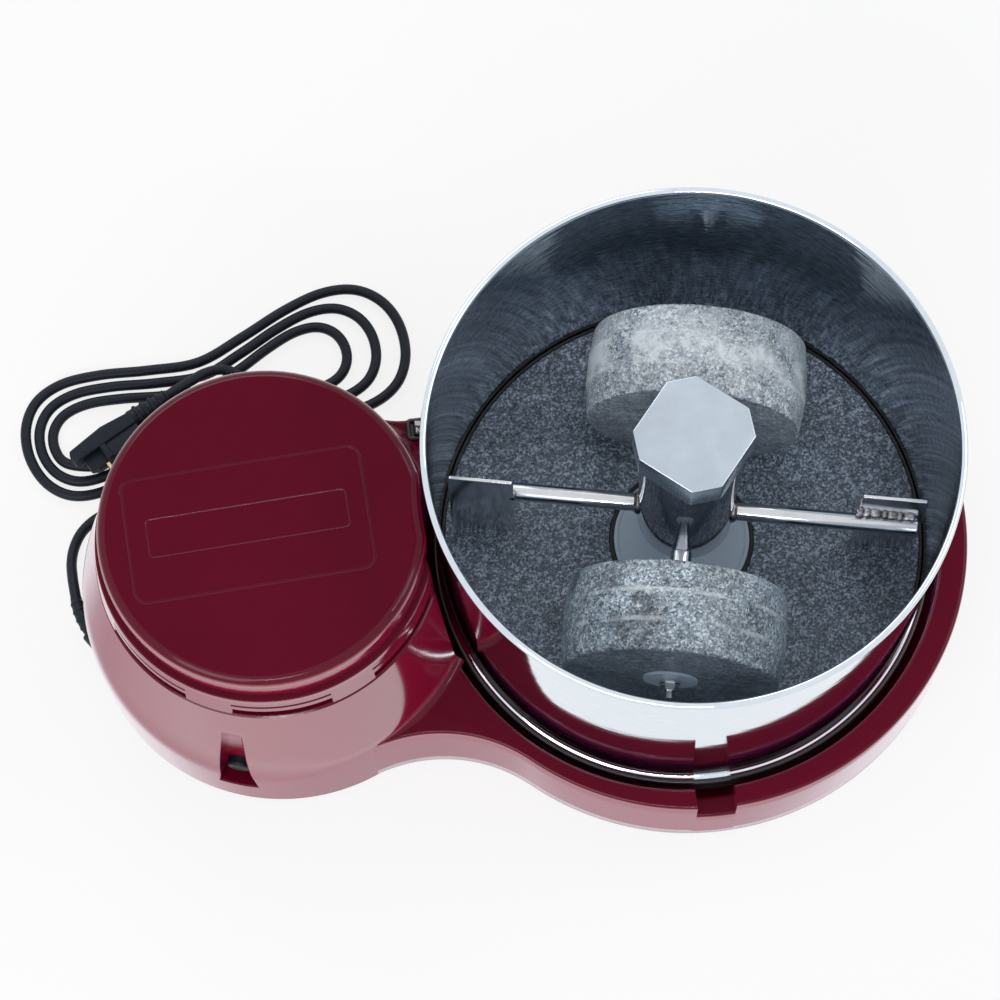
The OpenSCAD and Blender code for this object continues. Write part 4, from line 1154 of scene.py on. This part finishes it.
def make_welds():
    """Lumpy beads of weld between each rod and its blade, and a fillet round each rod at the tube."""
    shells = []
    for side in (1, -1):
        path, radii = [], []
        for s in parts(120):
            lump = abs(sin(pi * (7.5 * s + 0.6 * noise.noise(Vector((6 * s, side * 2.3, 0))))))
            wave = noise.noise(Vector((9 * s, side * 3.1, 0.4)))
            path.append(in_holder(side * (74 + 27 * s), side * (2.7 + 0.5 * wave), ROD_Z + 3.7 + 0.5 * lump))
            start = 1.2 * max(0.0, 1 - 9 * s)
            radii.append((1.1 + 0.8 * lump + 0.5 * wave + start) * min(1, 20 * s + 0.2, 20 * (1 - s) + 0.2))
        shells.append(tube(path, radii, 14))
        collar = rounded([(3.6, 20, 0), (5.3, 20, 0), (5.1, 21.3, 0.4), (4.6, 22, 0.5), (3.95, 23, 0.2)])
        shells.append(turned(collar, about_rod(side), 40))
    return joined(*shells)


piece("holder_welds", make_welds(), "roller_holder", "bright_steel", "weld")


# Tension knob: eight sides with crisp edges on a round skirt
KNOB_R = 25.3
KNOB_TURN = 5
KNOB_SIDE = 14.5


def make_knob():
    angles = [radians(KNOB_TURN + 90 * k + s * KNOB_SIDE) for k in range(4) for s in (-1, 1)]
    corners = [(KNOB_R * cos(a), KNOB_R * sin(a)) for a in angles]

    def place(x, y, z):
        return Vector((BOWL_X + x, y, z))
    head = block(corners, 1.3, 187, 205, 0.6, place)
    skirt = rounded([(6.1, 172.3, 0.3), (17.5, 172.3, 0.6), (17.5, 187.3, 0), (6.1, 187.3, 0)])
    return joined(head, turned(skirt, about_drum, 96))


piece("knob_head", make_knob(), "knob", "bright_steel", "knob_steel", "tension_knob")


# Rollers: three ground bands with slightly worn edges
def make_roller(side, seed):
    r = ROLLER_R
    w = ROLLER_W / 3
    rows = [(9, 0), (20, 0), (36, 0), (r - 3.2, 0), (r - 2.1, 0.25), (r - 1.5, 0.9)]
    between = parts(6)[1:-1]
    rows += [(r - 1.5 + 1.4 * s, 0.9 + (w - 1.4) * s) for s in between]
    rows += [(r - 0.1, w - 0.5), (r - 0.4, w), (r, w + 0.5)]
    rows += [(r, w + 0.5 + (w - 1) * s) for s in parts(4)[1:-1]]
    rows += [(r, 2 * w - 0.5), (r - 0.4, 2 * w), (r - 0.1, 2 * w + 0.5)]
    rows += [(r - 0.1 - 1.4 * s, 2 * w + 0.5 + (w - 1.4) * s) for s in between]
    rows += [(r - 1.5, 3 * w - 0.9), (r - 2.1, 3 * w - 0.25)]
    rows += [(radius, 3 * w) for radius in (r - 3.2, 36, 20, 9)]
    place = about_axle(side)
    count = 180
    rings = []
    for radius, h in rows:
        ring = []
        for k in range(count):
            a = 2 * pi * k / count
            spot = Vector((cos(a) * 9, sin(a) * 9, h * 0.5 + seed))
            chip = max(0.0, noise.noise(spot) - 0.25) if r - 2.3 < radius < r - 1.3 else 0
            wear = 0.05 * noise.noise(spot * 0.7) if radius > 40 else 0
            ring.append(place(radius + wear - 1.6 * chip, 360 * k / count, ROLLER_START + h))
        rings.append(ring)
    return loft(rings)


FACE_SLOPE = 0.9
axle_line = in_holder(0, 1, 0) - in_holder(0, 0, 0)
for name, side, seed, body, finish, node in (
    ("stone_far", 1, 0.0, "far_roller", None, "roller_far"),
    ("stone_near", -1, 7.3, "near_roller", "stained_granite", "roller_near"),
):
    stone = piece(name, make_roller(side, seed), body, "roller_granite", finish, node)
    # The flat end faces take the darker copy, a painted shade
    stone.data.materials.append(LOOKS["roller_face_painted_shade"])
    for face in stone.data.polygons:
        face.material_index = 1 if abs(face.normal.dot(axle_line)) > FACE_SLOPE else 0


# Switch, with a rocker that tips in its bezel
SWITCH_P = (-38.95, 63.95, DECK_Z)
ROCKER_HALF = 4.5
ROCKER_TIP = radians(10)


def in_switch(x, y, z):
    return Vector(SWITCH_P) + Vector((x, y, z))


def make_bezel():
    loops = []
    for d, z in ((0, -0.2), (0, 1.4), (0.25, 1.95), (0.8, 2.2), (1.4, 2.2), (1.7, 2.0), (1.85, 1.6)):
        corners = [(x, y, 2 - min(d, 1.7)) for x, y in inset(rectangle(-7.5, -5.25, 7.5, 5.25), d)]
        loops.append([in_switch(x, y, z) for x, y in rounded(corners, 6)])
    floor = rounded([(x, y, 0.3) for x, y in rectangle(-5.6, -3.7, 5.6, 3.7)], 6)
    loops.append([in_switch(x, y, 0.3) for x, y in floor])
    return loft(loops, False)


piece("switch_frame", make_bezel(), "base", "dark_plastic", None, "switch_bezel")


def in_rocker(x, y, z):
    """The rocker's own frame, tipped about its pivot so that its +x end is down."""
    c, s = cos(ROCKER_TIP), sin(ROCKER_TIP)
    return in_switch(x * c + z * s, y, z * c - x * s)


def rocker_height(x):
    return 2.4 + 1.2 * (abs(x) / ROCKER_HALF) ** 1.6


def make_rocker():
    top = [ROCKER_HALF * (1 - 2 * s) for s in parts(16)]
    side = [(-ROCKER_HALF, -2.2), (ROCKER_HALF, -2.2)] + [(x, rocker_height(x)) for x in top]
    rings = []
    for y, d in ((-3.3, 0.5), (-3.16, 0.14), (-2.8, 0), (2.8, 0), (3.16, 0.14), (3.3, 0.5)):
        ring = []
        for x, z in side:
            ring.append(in_rocker(x * (1 - d / ROCKER_HALF), y, z - (d if z > 0 else -d)))
        rings.append(ring)
    return loft(rings, False)


piece("switch_paddle", make_rocker(), "rocker", "dark_plastic", None, "switch_rocker")


def stroke(points, width):
    """A flat printed line along points of the rocker's top."""
    points = [Vector(p) for p in points]
    rings = []
    for i, p in enumerate(points):
        ahead = (points[min(i + 1, len(points) - 1)] - points[max(i - 1, 0)]).normalized()
        across = Vector((-ahead.y, ahead.x)) * (width / 2)
        a, b = p - across, p + across
        ring = [(a, -0.12), (b, -0.12), (b, 0.05), (a, 0.05)]
        rings.append([in_rocker(q.x, q.y, rocker_height(q.x) + lift) for q, lift in ring])
    return loft(rings, False)


def make_marks():
    """A pale bar and the two letters of its on mark, which read from the switch's own side."""
    # A pale bar along the far end of the rocker's top
    window = [(-4.1 + 3.6 * s, 2.0) for s in parts(8)]
    letter = [(-3.6, -2.4), (-3.6, -0.1)], [(-3.6, -0.1), (-1.9, -2.4)], [(-1.9, -2.4), (-1.9, -0.1)]
    turn = [2 * pi * s for s in parts(24)]
    ring = [(0.9 + 0.85 * cos(a), -1.25 + 1.15 * sin(a)) for a in turn]
    return joined(stroke(window, 2.2), stroke(ring, 0.5), *[stroke(line, 0.55) for line in letter])


piece("switch_marks", make_marks(), "rocker", "dark_plastic", "white_mark")


# Reset button low in the niche
BUTTON_Z = 41.0
BUTTON = [(0, 73.5, 0), (5.5, 73.5, 0.4), (5.5, 84.3, 1.6), (3.6, 84.1, 0.6), (2.8, 83.7, 0.6), (0, 83.7, 0)]
about_button = about_line((MOTOR_X, 0, BUTTON_Z), NICHE_A)
cap = turned(rounded(BUTTON), about_button, 64)
piece("reset_cap", cap, "button", "dark_plastic", "cord_rubber", "reset_button")


# Feet
FOOT = [
    (0, 0, 0), (8.5, 0, 0.3), (9.2, 0.5, 0.3), (10.4, 0.5, 0.5), (11, 5.4, 0.5), (10.4, 6, 0.3), (0, 6, 0)
]
FEET = ((-150, 56), (-150, -56), (130, 80), (130, -80))
feet = joined(*[turned(rounded(FOOT), about(x, y), 64) for x, y in FEET])
piece("soft_feet", feet, "base", "rubber", None, "rubber_feet")


# Carried-over CAD nodes take the finish of their material slot
for row in frame["record"]["subparts"]:
    data = NODES[row["node"]].data
    data.materials.clear()
    data.materials.append(LOOKS[row["material_slot"]])


# Floor, light and world
WHITE = (1, 1, 1)
FLOOR_TONE = (0.95, 0.95, 0.95)
FLOOR_HALF = 4.0
FLOOR_SEEN = 0.82
FILL_TONE = (0.95, 0.97, 1)
FILL = 0.5


def make_floor():
    """A pale floor that keeps the shadow and shows as white in metal."""
    h = FLOOR_HALF
    mesh = bpy.data.meshes.new("floor")
    mesh.from_pydata([(-h, -h, 0), (h, -h, 0), (h, h, 0), (-h, h, 0)], [], [(0, 1, 2, 3)])
    floor = placed("floor", mesh)
    material = bpy.data.materials.new("floor")
    material.use_nodes = True
    tree = material.node_tree
    tree.nodes.clear()
    path = add(tree, "LightPath").outputs
    lit = add(tree, "BsdfDiffuse", {"Color": FLOOR_TONE}).outputs[0]
    white = add(tree, "Emission", {"Color": WHITE, "Strength": 1.0}).outputs[0]
    through = math_node("MAXIMUM", path["Is Glossy Ray"], path["Is Transmission Ray"])
    direct = math_node("MULTIPLY", path["Is Camera Ray"], FLOOR_SEEN)
    seen = math_node("MAXIMUM", through, direct)
    mix = add(tree, "MixShader", {0: seen, 1: lit, 2: white}).outputs[0]
    add(tree, "OutputMaterial", {"Surface": mix}, is_active_output=True)
    mesh.materials.append(material)


def make_world():
    """A soft fill that shows as white to the camera and in metal."""
    world = bpy.data.worlds.new("studio")
    bpy.context.scene.world = world
    world.use_nodes = True
    tree = world.node_tree
    tree.nodes.clear()
    path = add(tree, "LightPath").outputs
    direct = math_node("MAXIMUM", path["Is Camera Ray"], path["Is Glossy Ray"])
    seen = math_node("MAXIMUM", direct, path["Is Transmission Ray"])
    fill = add(tree, "Background", {"Color": FILL_TONE, "Strength": FILL}).outputs[0]
    white = add(tree, "Background", {"Color": WHITE, "Strength": 1.0}).outputs[0]
    mix = add(tree, "MixShader", {0: seen, 1: fill, 2: white}).outputs[0]
    add(tree, "OutputWorld", {"Surface": mix})


AIM = Vector((0, 0, 0.08))


def make_light(name, place, size, power):
    data = bpy.data.lights.new(name, "AREA")
    data.shape = "RECTANGLE"
    data.size, data.size_y = size
    data.energy = power
    light = placed(name, data)
    light.location = place
    light.rotation_euler = (AIM - Vector(place)).to_track_quat("-Z", "Y").to_euler()


make_floor()
make_world()
make_light("key", (-0.9, -1.2, 1.25), (1.0, 0.9), 10.5)
make_light("strip", (-0.15, -1.25, 1.35), (0.5, 0.03), 3.5)
make_light("side", (1.2, 0.1, 1.3), (0.8, 0.8), 5)
make_light("back", (-0.4, 1.3, 1.2), (1.2, 0.6), 5)
bpy.context.scene.view_settings.view_transform = "Standard"
